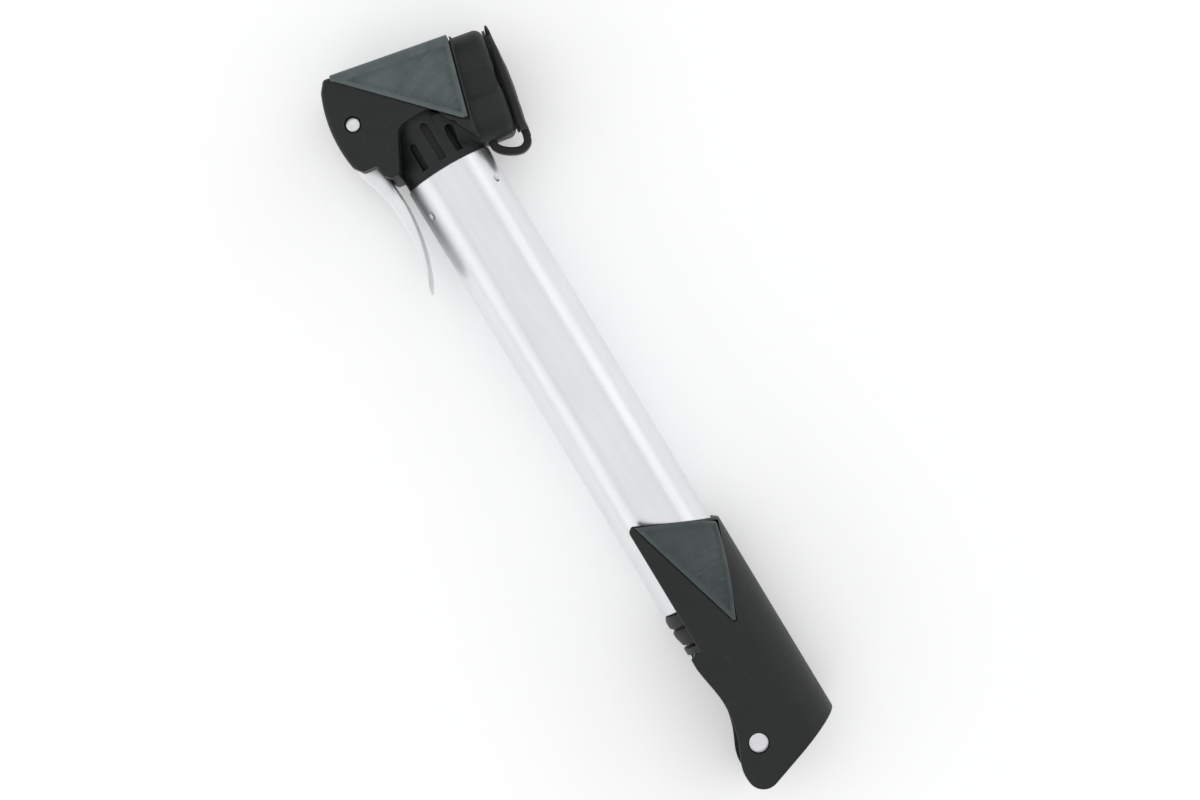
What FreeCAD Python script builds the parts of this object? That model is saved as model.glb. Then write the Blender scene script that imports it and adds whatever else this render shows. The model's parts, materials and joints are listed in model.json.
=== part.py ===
import FreeCAD, Part
import math
import os
import Sketcher

# Hand pump for bicycle tyres, lying on its side.
# +X runs along the barrel from the head to the handle, +Y points out of the valve ports and
# +Z is up. The origin is on the barrel's axis, where the barrel meets the head. Millimetres.

Vector = FreeCAD.Vector
doc = FreeCAD.newDocument("MiniPump")
sheet = doc.addObject("Spreadsheet::Sheet", "Dims")

DIMENSIONS = {
    # barrel: drawn aluminium tube, staked to the head
    "barrel_radius": 12.7,
    "barrel_bore": 11.2,
    "barrel_length": 137.0,
    "stake_x": 9.4,
    "stake_ball": 1.6,
    "stake_depth": 0.45,
    # head: moulded block with two cheeks, a round neck and a spigot
    "cheek_half": 14.2,
    "neck_radius": 12.2,
    "neck_length": 20.0,
    "spigot_radius": 11.15,
    "spigot_length": 12.5,
    "flute_width": 2.2,
    "flute_depth": 1.9,
    "valve_tilt": 11.0,
    "boss_face": 21.7,
    "boss_low": 3.0,
    "boss_high": 33.4,
    "boss_half": 11.6,
    "boss_corner": 7.5,
    "boss_front_round": 2.6,
    "cavity_radius": 6.5,
    "wide_port_y": 25.4,
    "narrow_port_y": 10.8,
    "wide_bore": 3.95,
    "narrow_bore": 3.1,
    "gasket_back": 10.0,
    "gasket_length": 8.6,
    "port_cap_thickness": 3.0,
    # lever and its pin
    "lever_pin_x": -22.4,
    "lever_pin_y": -15.8,
    "lever_pin_radius": 1.5,
    "lever_head_radius": 2.1,
    "lever_half": 7.6,
    "lever_slot_half": 8.0,
    "paddle_half": 8.4,
    "cam_radius": 5.0,
    "plunger_stroke": 1.6,
    # non-return valve in the spigot
    "check_ball_radius": 2.0,
    "check_pocket_radius": 3.0,
    "check_hole_radius": 1.5,
    # piston and rod
    "rod_radius": 4.5,
    "rod_bore": 3.0,
    "piston_back": 14.5,
    "piston_length": 10.0,
    "piston_radius": 11.0,
    "rod_end_x": 165.0,
    "running_gap": 0.06,
    "screw_radius": 2.0,
    "cross_pin_radius": 1.25,
    "cross_pin_x": 156.0,
    "cross_pin_half": 11.0,
    "press_gap": 0.02,
    # gland at the barrel's open end
    "gland_radius": 13.1,
    "gland_flange": 4.5,
    "gland_depth": 11.0,
    # carrier on the rod's end and folding handle
    "carrier_face": 146.4,
    "carrier_half": 13.0,
    "handle_half": 14.6,
    "handle_wall": 1.25,
    "handle_pin_x": 178.3,
    "handle_pin_y": -8.04,
    "handle_pin_radius": 2.0,
    "handle_head_radius": 2.7,
    # rubber inserts
    "insert_plane": 15.0,
    "insert_depth": 0.7,
    "insert_gap": 0.35,
    # dust cap and strap
    "cap_inner": 22.35,
    "cap_half": 9.0,
    "cap_hinge_x": 23.8,
    "cap_hinge_y": 2.6,
    "cap_knuckle": 1.25,
    "strap_thickness": 2.2,
    "strap_half": 2.2,
}

for row, (alias, number) in enumerate(DIMENSIONS.items(), start=1):
    sheet.set(f"A{row}", alias)
    sheet.set(f"B{row}", str(number))
    sheet.setAlias(f"B{row}", alias)
doc.recompute()


class Size:
    """A length that keeps the sheet formula it comes from."""

    def __init__(self, value, formula):
        self.value = value
        self.formula = formula

    def __add__(self, other):
        other = as_size(other)
        return Size(self.value + other.value, f"({self.formula} + {other.formula})")

    def __sub__(self, other):
        other = as_size(other)
        return Size(self.value - other.value, f"({self.formula} - {other.formula})")

    def __mul__(self, factor):
        return Size(self.value * factor, f"({self.formula} * {factor})")

    def __neg__(self):
        return self * -1

    __radd__ = __add__
    __rmul__ = __mul__


def as_size(number):
    return number if isinstance(number, Size) else Size(float(number), repr(float(number)))


def dim(alias):
    return Size(DIMENSIONS[alias], f"Dims.{alias}")


def plain(number):
    return as_size(number).value


# ---------------------------------------------------------------- building helpers

PORT_ANGLE = 90.0 - DIMENSIONS["valve_tilt"]
ROW = FreeCAD.Placement()
# In the port frame +X is the valve axis and +Y points to the head's top edge.
PORT = FreeCAD.Placement(Vector(0, 0, 0), FreeCAD.Rotation(Vector(0, 0, 1), PORT_ANGLE))


def bind(thing, prop, size):
    size = as_size(size)
    if size.formula.startswith("(") or size.formula.startswith("Dims"):
        thing.setExpression(prop, size.formula)
    else:
        setattr(thing, prop, size.value)


def bound_place(thing, at, frame=ROW, turn=None):
    """Places a primitive at a point of a frame; in the row frame the point is bound to the sheet."""
    rotation = frame.Rotation.multiply(turn) if turn else frame.Rotation
    point = Vector(*[plain(v) for v in at])
    thing.Placement = FreeCAD.Placement(frame.multVec(point), rotation)
    if frame is ROW:
        for letter, value in zip("xyz", at):
            if isinstance(value, Size):
                thing.setExpression(f"Placement.Base.{letter}", value.formula)
    return thing


TURN_TO = {
    "x": FreeCAD.Rotation(Vector(0, 1, 0), 90),
    "y": FreeCAD.Rotation(Vector(1, 0, 0), -90),
    "z": FreeCAD.Rotation(),
}


def cylinder(name, radius, length, at, axis="x", frame=ROW):
    thing = doc.addObject("Part::Cylinder", name)
    bind(thing, "Radius", radius)
    bind(thing, "Height", length)
    return bound_place(thing, at, frame, TURN_TO[axis])


def cone(name, radius_low, radius_high, length, at, axis="x", frame=ROW):
    thing = doc.addObject("Part::Cone", name)
    bind(thing, "Radius1", radius_low)
    bind(thing, "Radius2", radius_high)
    bind(thing, "Height", length)
    return bound_place(thing, at, frame, TURN_TO[axis])


def block(name, low, high, frame=ROW):
    thing = doc.addObject("Part::Box", name)
    for prop, a, b in zip(("Length", "Width", "Height"), low, high):
        bind(thing, prop, as_size(b) - a)
    return bound_place(thing, low, frame)


def ball(name, radius, at):
    thing = doc.addObject("Part::Sphere", name)
    bind(thing, "Radius", radius)
    return bound_place(thing, at)


def ring(name, mean_radius, section_radius, x):
    thing = doc.addObject("Part::Torus", name)
    bind(thing, "Radius1", mean_radius)
    bind(thing, "Radius2", section_radius)
    return bound_place(thing, (x, 0, 0), ROW, TURN_TO["x"])


def join(name, things):
    made = doc.addObject("Part::MultiFuse", name)
    made.Shapes = things
    made.Refine = True
    return made


def overlap(name, first, second):
    made = doc.addObject("Part::Common", name)
    made.Base = first
    made.Tool = second
    return made


def cut(name, base, tools):
    made = doc.addObject("Part::Cut", name)
    made.Base = base
    made.Tool = tools[0] if len(tools) == 1 else join(name + "Tools", tools)
    made.Refine = True
    return made


def soften(name, base, radius, wanted):
    """Rounds the edges of base that wanted(edge) picks."""
    doc.recompute()
    made = doc.addObject("Part::Fillet", name)
    made.Base = base
    picked = [i for i, edge in enumerate(base.Shape.Edges, start=1) if wanted(edge)]
    made.Edges = [(i, radius, radius) for i in picked]
    return made


def rounded(corners):
    """Lines and arcs of a closed outline, from corners (x, y) or (x, y, corner radius)."""
    points = [Vector(plain(c[0]), plain(c[1]), 0) for c in corners]
    radii = [plain(c[2]) if len(c) > 2 else 0.0 for c in corners]
    starts, ends, middles = [], [], []
    for i, point in enumerate(points):
        before = (points[i - 1] - point).normalize()
        after = (points[(i + 1) % len(points)] - point).normalize()
        half = before.getAngle(after) / 2
        reach = radii[i] / math.tan(half)
        starts.append(point + before * reach)
        ends.append(point + after * reach)
        if radii[i]:
            inward = (before + after).normalize()
            middles.append(point + inward * (radii[i] / math.sin(half) - radii[i]))
        else:
            middles.append(point)
    edges = []
    for i in range(len(points)):
        if radii[i]:
            edges.append(Part.Arc(starts[i], middles[i], ends[i]))
        following = starts[(i + 1) % len(points)]
        if (following - ends[i]).Length > 1e-6:
            edges.append(Part.LineSegment(ends[i], following))
    return edges


def sketch_in(body, name, role):
    sketch = body.newObject("Sketcher::SketchObject", name)
    plane = [f for f in body.Origin.OriginFeatures if f.Role == role][0]
    sketch.AttachmentSupport = [(plane, "")]
    sketch.MapMode = "FlatFace"
    return sketch


def slab(name, edges, half, frame=ROW, role="XY_Plane"):
    """A flat outline made as thick as twice half, centred on its plane."""
    body = doc.addObject("PartDesign::Body", name)
    sketch = sketch_in(body, name + "Outline", role)
    sketch.addGeometry(edges, False)
    pad = body.newObject("PartDesign::Pad", name + "Pad")
    pad.Profile = sketch
    pad.Midplane = True
    bind(pad, "Length", as_size(half) * 2)
    body.Placement = frame
    return body


def turned(name, outline, frame=ROW, at=(0, 0, 0)):
    """A part turned about its X axis; each corner (x, radius) is bound to the sheet."""
    body = doc.addObject("PartDesign::Body", name)
    sketch = sketch_in(body, name + "Section", "XY_Plane")
    points = [Vector(plain(x), plain(r), 0) for x, r in outline]
    count = len(points)
    for i in range(count):
        sketch.addGeometry(Part.LineSegment(points[i], points[(i + 1) % count]), False)
    for i in range(count):
        sketch.addConstraint(Sketcher.Constraint("Coincident", i, 2, (i + 1) % count, 1))
    for i, corner in enumerate(outline):
        for kind, value in zip(("DistanceX", "DistanceY"), corner):
            number = sketch.addConstraint(Sketcher.Constraint(kind, -1, 1, i, 1, plain(value)))
            if isinstance(value, Size):
                sketch.setExpression(f"Constraints[{number}]", value.formula)
    spin = body.newObject("PartDesign::Revolution", name + "Turn")
    spin.Profile = sketch
    spin.ReferenceAxis = (sketch, ["H_Axis"])
    spin.Angle = 360.0
    body.Placement = FreeCAD.Placement(frame.multVec(Vector(*at)), frame.Rotation)
    return body


def tube_outline(x_low, x_high, inner, outer):
    return [(x_low, inner), (x_high, inner), (x_high, outer), (x_low, outer)]


def racetrack(name, low, high, radius, y_low, y_high):
    """A bar along the valve axis whose section has straight sides and two round ends."""
    thick = as_size(high) - low
    ends = [
        cylinder(f"{name}End{i}", radius, thick, (low, y, 0), "x", PORT)
        for i, y in enumerate((y_low, y_high))
    ]
    middle = block(f"{name}Middle", (low, y_low, -radius), (high, y_high, radius), PORT)
    return join(name, ends + [middle])


def ribbon(points, width):
    """Closed outline of a band of even width about a centre line of (x, y, bend radius)."""
    line = [Vector(p[0], p[1], 0) for p in points]
    bends = [p[2] for p in points]
    sides = []
    for sign in (1, -1):
        side = []
        for i, point in enumerate(line):
            back = (point - line[i - 1]).normalize() if i else None
            ahead = (line[i + 1] - point).normalize() if i < len(line) - 1 else None
            along = back or ahead
            normal = Vector(-along.y, along.x, 0)
            if back and ahead:
                turn = back.cross(ahead).z
                mean = (back + ahead).normalize()
                normal = Vector(-mean.y, mean.x, 0)
                stretch = 1 / math.cos(back.getAngle(ahead) / 2)
                grown = bends[i] - sign * width / 2 * (1 if turn > 0 else -1)
                moved = point + normal * (sign * width / 2 * stretch)
                side.append((moved.x, moved.y, max(grown, 0.1)))
            else:
                moved = point + normal * (sign * width / 2)
                side.append((moved.x, moved.y))
        sides.append(side)
    return rounded(sides[0] + sides[1][::-1])


subparts = []


def finished(thing, label):
    """Names a finished sub-part; the label is also the name of its file."""
    thing.Label = label
    subparts.append(thing)
    return thing


# ---------------------------------------------------------------- barrel


def make_barrel():
    edge = 0.3
    bore, outside, length = dim("barrel_bore"), dim("barrel_radius"), dim("barrel_length")
    section = [
        (0, bore),
        (length, bore),
        (length, outside - edge),
        (length - edge, outside),
        (edge, outside),
        (0, outside - edge),
    ]
    tube = turned("BarrelTube", section)
    reach = DIMENSIONS["barrel_radius"] + DIMENSIONS["stake_ball"] - DIMENSIONS["stake_depth"]
    dimples = []
    for i, angle in enumerate((54, -54, 180)):
        y = reach * math.sin(math.radians(angle))
        z = reach * math.cos(math.radians(angle))
        dimples.append(ball(f"Stake{i}", dim("stake_ball"), (dim("stake_x"), y, z)))
    finished(cut("BarrelCut", tube, dimples), "barrel")


# ---------------------------------------------------------------- head

# The head's top edge is a straight line, from the lever side to the valve side.
TOP_LEFT = (-37.2, -16.6)
TOP_RIGHT = (-29.7, 19.6)


def head_outline(top_shift=0.0):
    """The cheeks' outline, in order round the head; top_shift moves its top edge outwards."""
    lever_side = Part.Arc(
        Vector(-12.6, -21.9, 0), Vector(-23.0, -22.1, 0), Vector(-34.4, -18.9, 0)
    )
    corners = [
        (-34.4, -18.9),
        (TOP_LEFT[0] - top_shift, TOP_LEFT[1], 1.2),
        (TOP_RIGHT[0] - top_shift, TOP_RIGHT[1], 0.8),
        (-5.6, 12.9, 1.2),
        (-1.6, 12.0),
        (-10.8, 6.9, 2.0),
        (-15.6, 5.4, 3.0),
        (-15.6, -5.6, 4.0),
        (-5.4, -11.2, 1.5),
        (-4.3, -12.2),
        (-4.6, -14.4, 0.5),
        (-6.0, -15.7, 1.0),
        (-9.5, -16.1, 1.0),
        (-9.9, -20.0, 1.2),
        (-12.6, -21.9),
    ]
    edges = rounded(corners)
    # The last straight line closes the lever side, where the arc takes its place.
    return edges[:-1] + [lever_side]


# Corners of the rubber triangle on each cheek, as (x, y, corner radius).
HEAD_TRIANGLE = [(-35.8, -14.7, 0.6), (-29.9, 18.6, 0.6), (-7.2, 12.0, 0.8)]
TRIANGLE_OVERRUN = 6.0
# The rubber's thickness, from the cheek pad's outer plane down to its seat.
INSERT_SKIN = DIMENSIONS["insert_plane"] - DIMENSIONS["cheek_half"] + DIMENSIONS["insert_depth"]


def head_prism(name, grow):
    """The triangle's prism, run out past the head's top edge and grown on its sides."""
    (ax, ay, _), (bx, by, _), (cx, cy, tip) = HEAD_TRIANGLE
    low_side = Vector(cx - ax, cy - ay, 0).normalize()
    right_side = Vector(cx - bx, cy - by, 0).normalize()
    along_top = Vector(bx - ax, by - ay, 0).normalize()
    off_top = Vector(-along_top.y, along_top.x, 0)
    low_out = Vector(low_side.y, -low_side.x, 0)
    right_out = Vector(-right_side.y, right_side.x, 0)
    # The lower side's corner is where its grown line meets the grown line that leaves the head.
    bend = along_top.getAngle(low_side)
    a = Vector(ax, ay, 0) - along_top * grow + off_top * (grow * math.tan(bend / 2))
    b = Vector(bx, by, 0) + right_out * grow
    a_far = a + off_top * TRIANGLE_OVERRUN
    b_far = b - right_side * TRIANGLE_OVERRUN
    spread = grow / math.sin(low_side.getAngle(right_side) / 2)
    c = Vector(cx, cy, 0) + (low_side + right_side).normalize() * spread
    corners = [(a_far.x, a_far.y), (b_far.x, b_far.y), (c.x, c.y, tip), (a.x, a.y)]
    return slab(name, rounded(corners), 20)


def is_top_edge(edge, half):
    """Long edges of the head's top face, at the cheeks' planes."""
    box = edge.BoundBox
    flat = abs(abs(box.ZMin) - half) < 0.01 and box.ZLength < 0.01
    return flat and box.YLength > 20 and box.XMax < -28


def insert_core(name, inset):
    """The part of the head that lies under the rubber triangle."""
    half = DIMENSIONS["insert_plane"] - inset
    core = slab(name + "Slab", head_outline(0.6 - inset), dim("insert_plane") - inset)
    return soften(name, core, 2.4, lambda edge: is_top_edge(edge, half))


def make_head_body():
    half = DIMENSIONS["cheek_half"]
    cheeks = slab("Cheeks", head_outline(), dim("cheek_half"))

    def rim_middle(edge):
        """The middle of an edge that lies in a cheek's plane, else None."""
        box = edge.BoundBox
        if abs(abs(box.ZMin) - half) > 0.01 or box.ZLength > 0.01:
            return None
        return edge.valueAt((edge.FirstParameter + edge.LastParameter) / 2)

    def on_outer_rim(edge):
        """The top edge and the lever side, which are well rounded."""
        middle = rim_middle(edge)
        return middle is not None and (middle.y < -21.9 or middle.x < -28.0)

    def on_inner_rim(edge):
        """The rest of the rim, without the line where the lever side's rounding ends."""
        middle = rim_middle(edge)
        if middle is None or middle.x < -28.0:
            return False
        return middle.x > -14.0 or middle.y > -19.0

    big_round = soften("OuterRim", cheeks, 1.8, on_outer_rim)
    soft_cheeks = soften("SoftCheeks", big_round, 0.5, on_inner_rim)

    neck = cylinder("Neck", dim("neck_radius"), dim("neck_length"), (-dim("neck_length"), 0, 0))
    spigot = turned(
        "Spigot",
        [
            (-1, 0),
            (dim("spigot_length"), 0),
            (dim("spigot_length"), dim("spigot_radius") - 0.5),
            (dim("spigot_length") - 0.5, dim("spigot_radius")),
            (5.1, dim("spigot_radius")),
            (5.1, 9.55),
            (3.1, 9.55),
            (3.1, dim("spigot_radius")),
            (-1, dim("spigot_radius")),
        ],
    )

    # The boss is a rounded bar along the valve axis, with a well rounded front edge.
    corner = DIMENSIONS["boss_corner"]
    low, high = DIMENSIONS["boss_low"], DIMENSIONS["boss_high"]
    wide = DIMENSIONS["boss_half"]
    section = rounded(
        [
            (low, -wide, corner),
            (high, -wide, corner),
            (high, wide, corner),
            (low, wide, corner),
        ]
    )
    boss_body = doc.addObject("PartDesign::Body", "BossBar")
    boss_sketch = sketch_in(boss_body, "BossSection", "YZ_Plane")
    boss_sketch.addGeometry(section, False)
    boss_pad = boss_body.newObject("PartDesign::Pad", "BossPad")
    boss_pad.Profile = boss_sketch
    bind(boss_pad, "Length", dim("boss_face"))
    boss_body.Placement = PORT

    def front_edge(edge):
        return all(
            abs(PORT.inverse().multVec(v.Point).x - DIMENSIONS["boss_face"]) < 0.01
            for v in edge.Vertexes
        )

    boss = soften("BossBlock", boss_body, DIMENSIONS["boss_front_round"], front_edge)

    # A shallow valley round the boss parts it into two lobes, one over each port.
    valley = 9.0
    between = (DIMENSIONS["narrow_port_y"] + DIMENSIONS["wide_port_y"]) / 2
    side_depth, face_depth = 0.9, 0.7
    valleys = []
    for name, sign in (("ValleyUp", 1), ("ValleyDown", -1)):
        z = sign * (wide + valley - side_depth)
        valleys.append(cylinder(name, valley, 60, (-10, between, z), "x", PORT))
    x = DIMENSIONS["boss_face"] + valley - face_depth
    valleys.append(cylinder("ValleyFace", valley, 60, (x, between, -30), "z", PORT))
    boss = cut("Boss", boss, valleys)
    solid = join("HeadSolid", [soft_cheeks, neck, spigot, boss])

    # Flutes in the neck, front and back.
    cuts = []
    depth = dim("neck_radius") - dim("flute_depth")
    for side, sign in (("Front", 1), ("Back", -1)):
        for i, (angle, top) in enumerate(((-25, -8.9), (2, -12.2), (28, -8.6))):
            turn = FreeCAD.Rotation(Vector(1, 0, 0), -angle if sign > 0 else 180 + angle)
            holder = FreeCAD.Placement(Vector(0, 0, 0), turn)
            width = DIMENSIONS["flute_width"] / 2
            flute = block(
                f"Flute{side}{i}", (top, -width, depth), (-2.0, width, depth + 8), holder
            )
            crown = cylinder(
                f"Crown{side}{i}", dim("flute_width") * 0.5, 8, (top, 0, depth), "z", holder
            )
            cuts += [flute, crown]

    # Bore for the plunger and the gasket, open at the valve face, and the stem's window.
    y_low, y_high = dim("narrow_port_y"), dim("wide_port_y")
    face = dim("boss_face")
    cuts.append(racetrack("Cavity", -9.0, face + 1, dim("cavity_radius"), y_low, y_high))
    cuts.append(block("StemWindow", (-18, 13.6, -5.6), (-8, 24.4, 5.6), PORT))

    # Slot that the lever's hub and arm swing through, open to the lever side.
    px, py = dim("lever_pin_x"), dim("lever_pin_y")
    slot_half = dim("lever_slot_half")
    cuts.append(cylinder("HubRoom", 7.2, slot_half * 2, (px, py, -slot_half), "z"))
    arm_room = rounded([(-29.6, -30), (-29.6, py), (-16, -14.8), (0, -14.8), (0, -30)])
    cuts.append(slab("ArmRoom", arm_room, slot_half))
    pin_hole = dim("lever_pin_radius") + dim("press_gap")
    cuts.append(cylinder("PinHole", pin_hole, 40, (px, py, -20), "z"))
    head_room, room_floor = dim("lever_head_radius") + 0.3, dim("cheek_half") - 1.0
    cuts.append(cylinder("HeadRoomUp", head_room, 5, (px, py, room_floor), "z"))
    cuts.append(cylinder("HeadRoomDown", head_room, 5, (px, py, -room_floor - 5), "z"))

    # Air way from the barrel, through the non-return valve, to the cavity.
    cuts.append(cylinder("AirWay", dim("check_hole_radius"), 14, (-6.0, 0, 0)))
    cuts.append(cylinder("ValvePocket", dim("check_pocket_radius"), 12, (1.5, 0, 0)))
    cuts.append(cylinder("SeatPocket", 4.52, 5, (8.5, 0, 0)))

    body = cut("HeadCut", solid, cuts)

    # Recess for the rubber triangle: all that lies outside the core, within the prism.
    core = insert_core("RecessCore", INSERT_SKIN)
    prism = head_prism("RecessPrism", DIMENSIONS["insert_gap"])
    outside = cut("RecessOutside", prism, [core])
    finished(cut("HeadBody", body, [outside]), "head_body")


def make_head_insert():
    outer = insert_core("InsertOuter", 0.0)
    core = insert_core("InsertCore", INSERT_SKIN)
    shell = cut("InsertShell", outer, [core])
    finished(overlap("InsertCommon", shell, head_prism("InsertPrism", 0.0)), "head_grip_insert")


def make_port_cap():
    face, thick = dim("boss_face"), dim("port_cap_thickness")
    y_low, y_high = dim("narrow_port_y"), dim("wide_port_y")
    plate = racetrack("CapPlate", face - thick, face, dim("cavity_radius") - 0.03, y_low, y_high)
    holes = []
    for name, y, bore in (("Wide", y_high, "wide_bore"), ("Narrow", y_low, "narrow_bore")):
        clear = dim(bore) + 0.35
        holes.append(cylinder(f"{name}Hole", clear, 10, (15, y, 0), "x", PORT))
        holes.append(cone(f"{name}Mouth", clear, clear + 0.8, 0.8, (face - 0.8, y, 0), "x", PORT))
    finished(cut("PortCap", plate, holes), "port_cap")


def make_twin_gasket():
    back, length = dim("gasket_back"), dim("gasket_length")
    y_low, y_high = dim("narrow_port_y"), dim("wide_port_y")
    rubber = racetrack("Rubber", back, back + length, dim("cavity_radius") - 0.05, y_low, y_high)
    bores = [
        cylinder("WideBore", dim("wide_bore"), 12, (8, y_high, 0), "x", PORT),
        cylinder("NarrowBore", dim("narrow_bore"), 12, (8, y_low, 0), "x", PORT),
    ]
    finished(cut("TwinGasket", rubber, bores), "twin_gasket")


def make_plunger():
    y_low, y_high = dim("narrow_port_y"), dim("wide_port_y")
    tight = dim("cavity_radius") - dim("running_gap")
    pieces = [
        racetrack("SealHead", -7.0, -2.4, tight, y_low, y_high),
        racetrack("Waist", -3.0, 7.0, 4.4, y_low, y_high),
        racetrack("PushFlange", 6.0, 8.3, dim("cavity_radius") - 0.3, y_low, y_high),
        block("Stem", (-16.28, 14.0, -5.2), (-6.0, 24.0, 5.2), PORT),
    ]
    groove = cut(
        "SealGroove",
        racetrack("GrooveOut", -5.7, -3.7, 9.0, y_low, y_high),
        [racetrack("GrooveIn", -6.0, -3.4, 5.0, y_low, y_high)],
    )
    air = [
        cylinder("WideAir", 1.8, 12, (0, y_high, 0), "x", PORT),
        cylinder("NarrowAir", 1.8, 12, (0, y_low, 0), "x", PORT),
        cylinder("CrossAir", 1.5, 30, (1.8, 4, 0), "y", PORT),
    ]
    finished(cut("Plunger", join("PlungerSolid", pieces), [groove] + air), "plunger")
    seal = cut(
        "PlungerSeal",
        racetrack("SealOut", -5.5, -3.9, dim("cavity_radius") - 0.03, y_low, y_high),
        [racetrack("SealIn", -6.0, -3.4, 5.03, y_low, y_high)],
    )
    finished(seal, "plunger_seal")


def make_depressor_pin():
    y = dim("wide_port_y")
    thin, reach = 0.5, 1.7
    pieces = [
        cylinder("PinShaft", 0.9, 6.6, (3.0, y, 0), "x", PORT),
        block("PinFinY", (3.0, y - reach, -thin), (6.5, y + reach, thin), PORT),
        block("PinFinZ", (3.0, y - thin, -reach), (6.5, y + thin, reach), PORT),
    ]
    finished(join("DepressorPin", pieces), "depressor_pin")


def make_check_valve():
    pocket = 8.5
    end = dim("spigot_length")
    seat = turned(
        "Seat",
        [(pocket, 2.4), (pocket + 1.2, 1.2), (end, 1.2), (end, 4.5), (pocket, 4.5)],
    )
    finished(seat, "check_valve_seat")
    # The ball rests in the seat's cone, whose side slopes at 45 degrees.
    rest = pocket + 2.4 - DIMENSIONS["check_ball_radius"] * math.sqrt(2) - 0.02
    finished(ball("Ball", dim("check_ball_radius"), (rest, 0, 0)), "check_valve_ball")
    wire, coil = 0.25, 2.1
    start = 1.55 + wire
    spine = doc.addObject("Part::Helix", "SpringSpine")
    spine.Radius = coil
    spine.Pitch = 1.1
    spine.Height = rest - start - 0.85
    section = doc.addObject("Part::Circle", "SpringWire")
    section.Radius = wire
    section.Placement = FreeCAD.Placement(
        Vector(coil, 0, 0), FreeCAD.Rotation(Vector(1, 0, 0), 90)
    )
    spring = doc.addObject("Part::Sweep", "Spring")
    spring.Sections = [section]
    spring.Spine = (spine, ["Edge1"])
    spring.Solid = True
    spring.Frenet = True
    spring.Placement = FreeCAD.Placement(Vector(start, 0, 0), TURN_TO["x"])
    finished(spring, "check_valve_spring")


def make_spigot_ring():
    section = 0.81
    mean = dim("barrel_bore") - 0.01 - section
    finished(ring("SpigotRing", mean, section, 4.1), "spigot_o_ring")


# ---------------------------------------------------------------- lever


def make_lever():
    px, py = DIMENSIONS["lever_pin_x"], DIMENSIONS["lever_pin_y"]
    stroke = DIMENSIONS["plunger_stroke"]
    tilt = math.radians(PORT_ANGLE)
    cam_x = px - stroke * math.cos(tilt)
    cam_y = py - stroke * math.sin(tilt)
    half = dim("lever_half")
    hub = cylinder("Cam", dim("cam_radius"), half * 2, (cam_x, cam_y, -half), "z")
    tip_inner, tip_outer = Vector(26.4, -20.9, 0), Vector(27.0, -22.0, 0)
    edge_on = [
        Part.LineSegment(Vector(px, -16.0, 0), Vector(-9.4, -15.8, 0)),
        Part.Arc(Vector(-9.4, -15.8, 0), Vector(7.0, -15.1, 0), tip_inner),
        Part.Arc(tip_inner, Vector(27.2, -21.3, 0), tip_outer),
        Part.Arc(tip_outer, Vector(6.0, -18.3, 0), Vector(-10.0, -21.6, 0)),
        Part.LineSegment(Vector(-10.0, -21.6, 0), Vector(cam_x, -22.35, 0)),
        Part.LineSegment(Vector(cam_x, -22.35, 0), Vector(px, -16.0, 0)),
    ]
    arm = slab("Arm", edge_on, 12)
    # Seen from the side the arm is as wide as the slot, then a rounded paddle.
    narrow, wide, tip_half = DIMENSIONS["lever_half"], DIMENSIONS["paddle_half"], 7.4
    one_side = [(-30, narrow), (-3.6, narrow, 4.0), (0.4, wide, 4.0), (28.4, tip_half, 6.2)]
    other_side = [(x, -z, *corner) for x, z, *corner in reversed(one_side)]
    paddle = one_side + other_side
    plan = slab("Paddle", rounded(paddle), 60, ROW, "XZ_Plane")
    blade = soften("Blade", overlap("SharpBlade", arm, plan), 0.4, lambda edge: True)
    solid = join("LeverSolid", [hub, blade])
    hole = cylinder(
        "LeverBore", dim("lever_pin_radius") + dim("running_gap"), 40, (px, py, -20), "z"
    )
    finished(cut("Lever", solid, [hole]), "lever")


def rivet(name, radius, head_radius, x, y, half, head):
    """A pin along Z with a domed head at each end, flush with the faces at half."""
    body = doc.addObject("PartDesign::Body", name)
    sketch = sketch_in(body, name + "Section", "XZ_Plane")
    shank, wide, top = plain(radius), plain(head_radius), plain(half)
    crown_rise, bulge = 0.05, 0.12
    flat = wide * 0.3
    brim = top - head * 0.55
    corners = [
        (0, top + crown_rise),
        (flat, top + crown_rise),
        (wide, brim),
        (wide, top - head),
        (shank, top - head),
    ]
    corners += [(out, -along) for out, along in reversed(corners)]
    edges = []
    for first, second in zip(corners, corners[1:] + corners[:1]):
        start, end = Vector(*first, 0), Vector(*second, 0)
        if {first[0], second[0]} == {flat, wide}:
            side = math.copysign(bulge, first[1])
            middle = (start + end) * 0.5 + Vector(bulge, side, 0)
            edges.append(Part.Arc(start, middle, end))
        else:
            edges.append(Part.LineSegment(start, end))
    sketch.addGeometry(edges, False)
    spin = body.newObject("PartDesign::Revolution", name + "Turn")
    spin.Profile = sketch
    spin.ReferenceAxis = (sketch, ["V_Axis"])
    spin.Angle = 360.0
    body.Placement = FreeCAD.Placement(Vector(plain(x), plain(y), 0), FreeCAD.Rotation())
    return body


def make_lever_pin():
    pin = rivet(
        "LeverPin",
        dim("lever_pin_radius"),
        dim("lever_head_radius"),
        dim("lever_pin_x"),
        dim("lever_pin_y"),
        dim("cheek_half"),
        0.95,
    )
    finished(pin, "lever_pin")


# ---------------------------------------------------------------- dust cap


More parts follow.
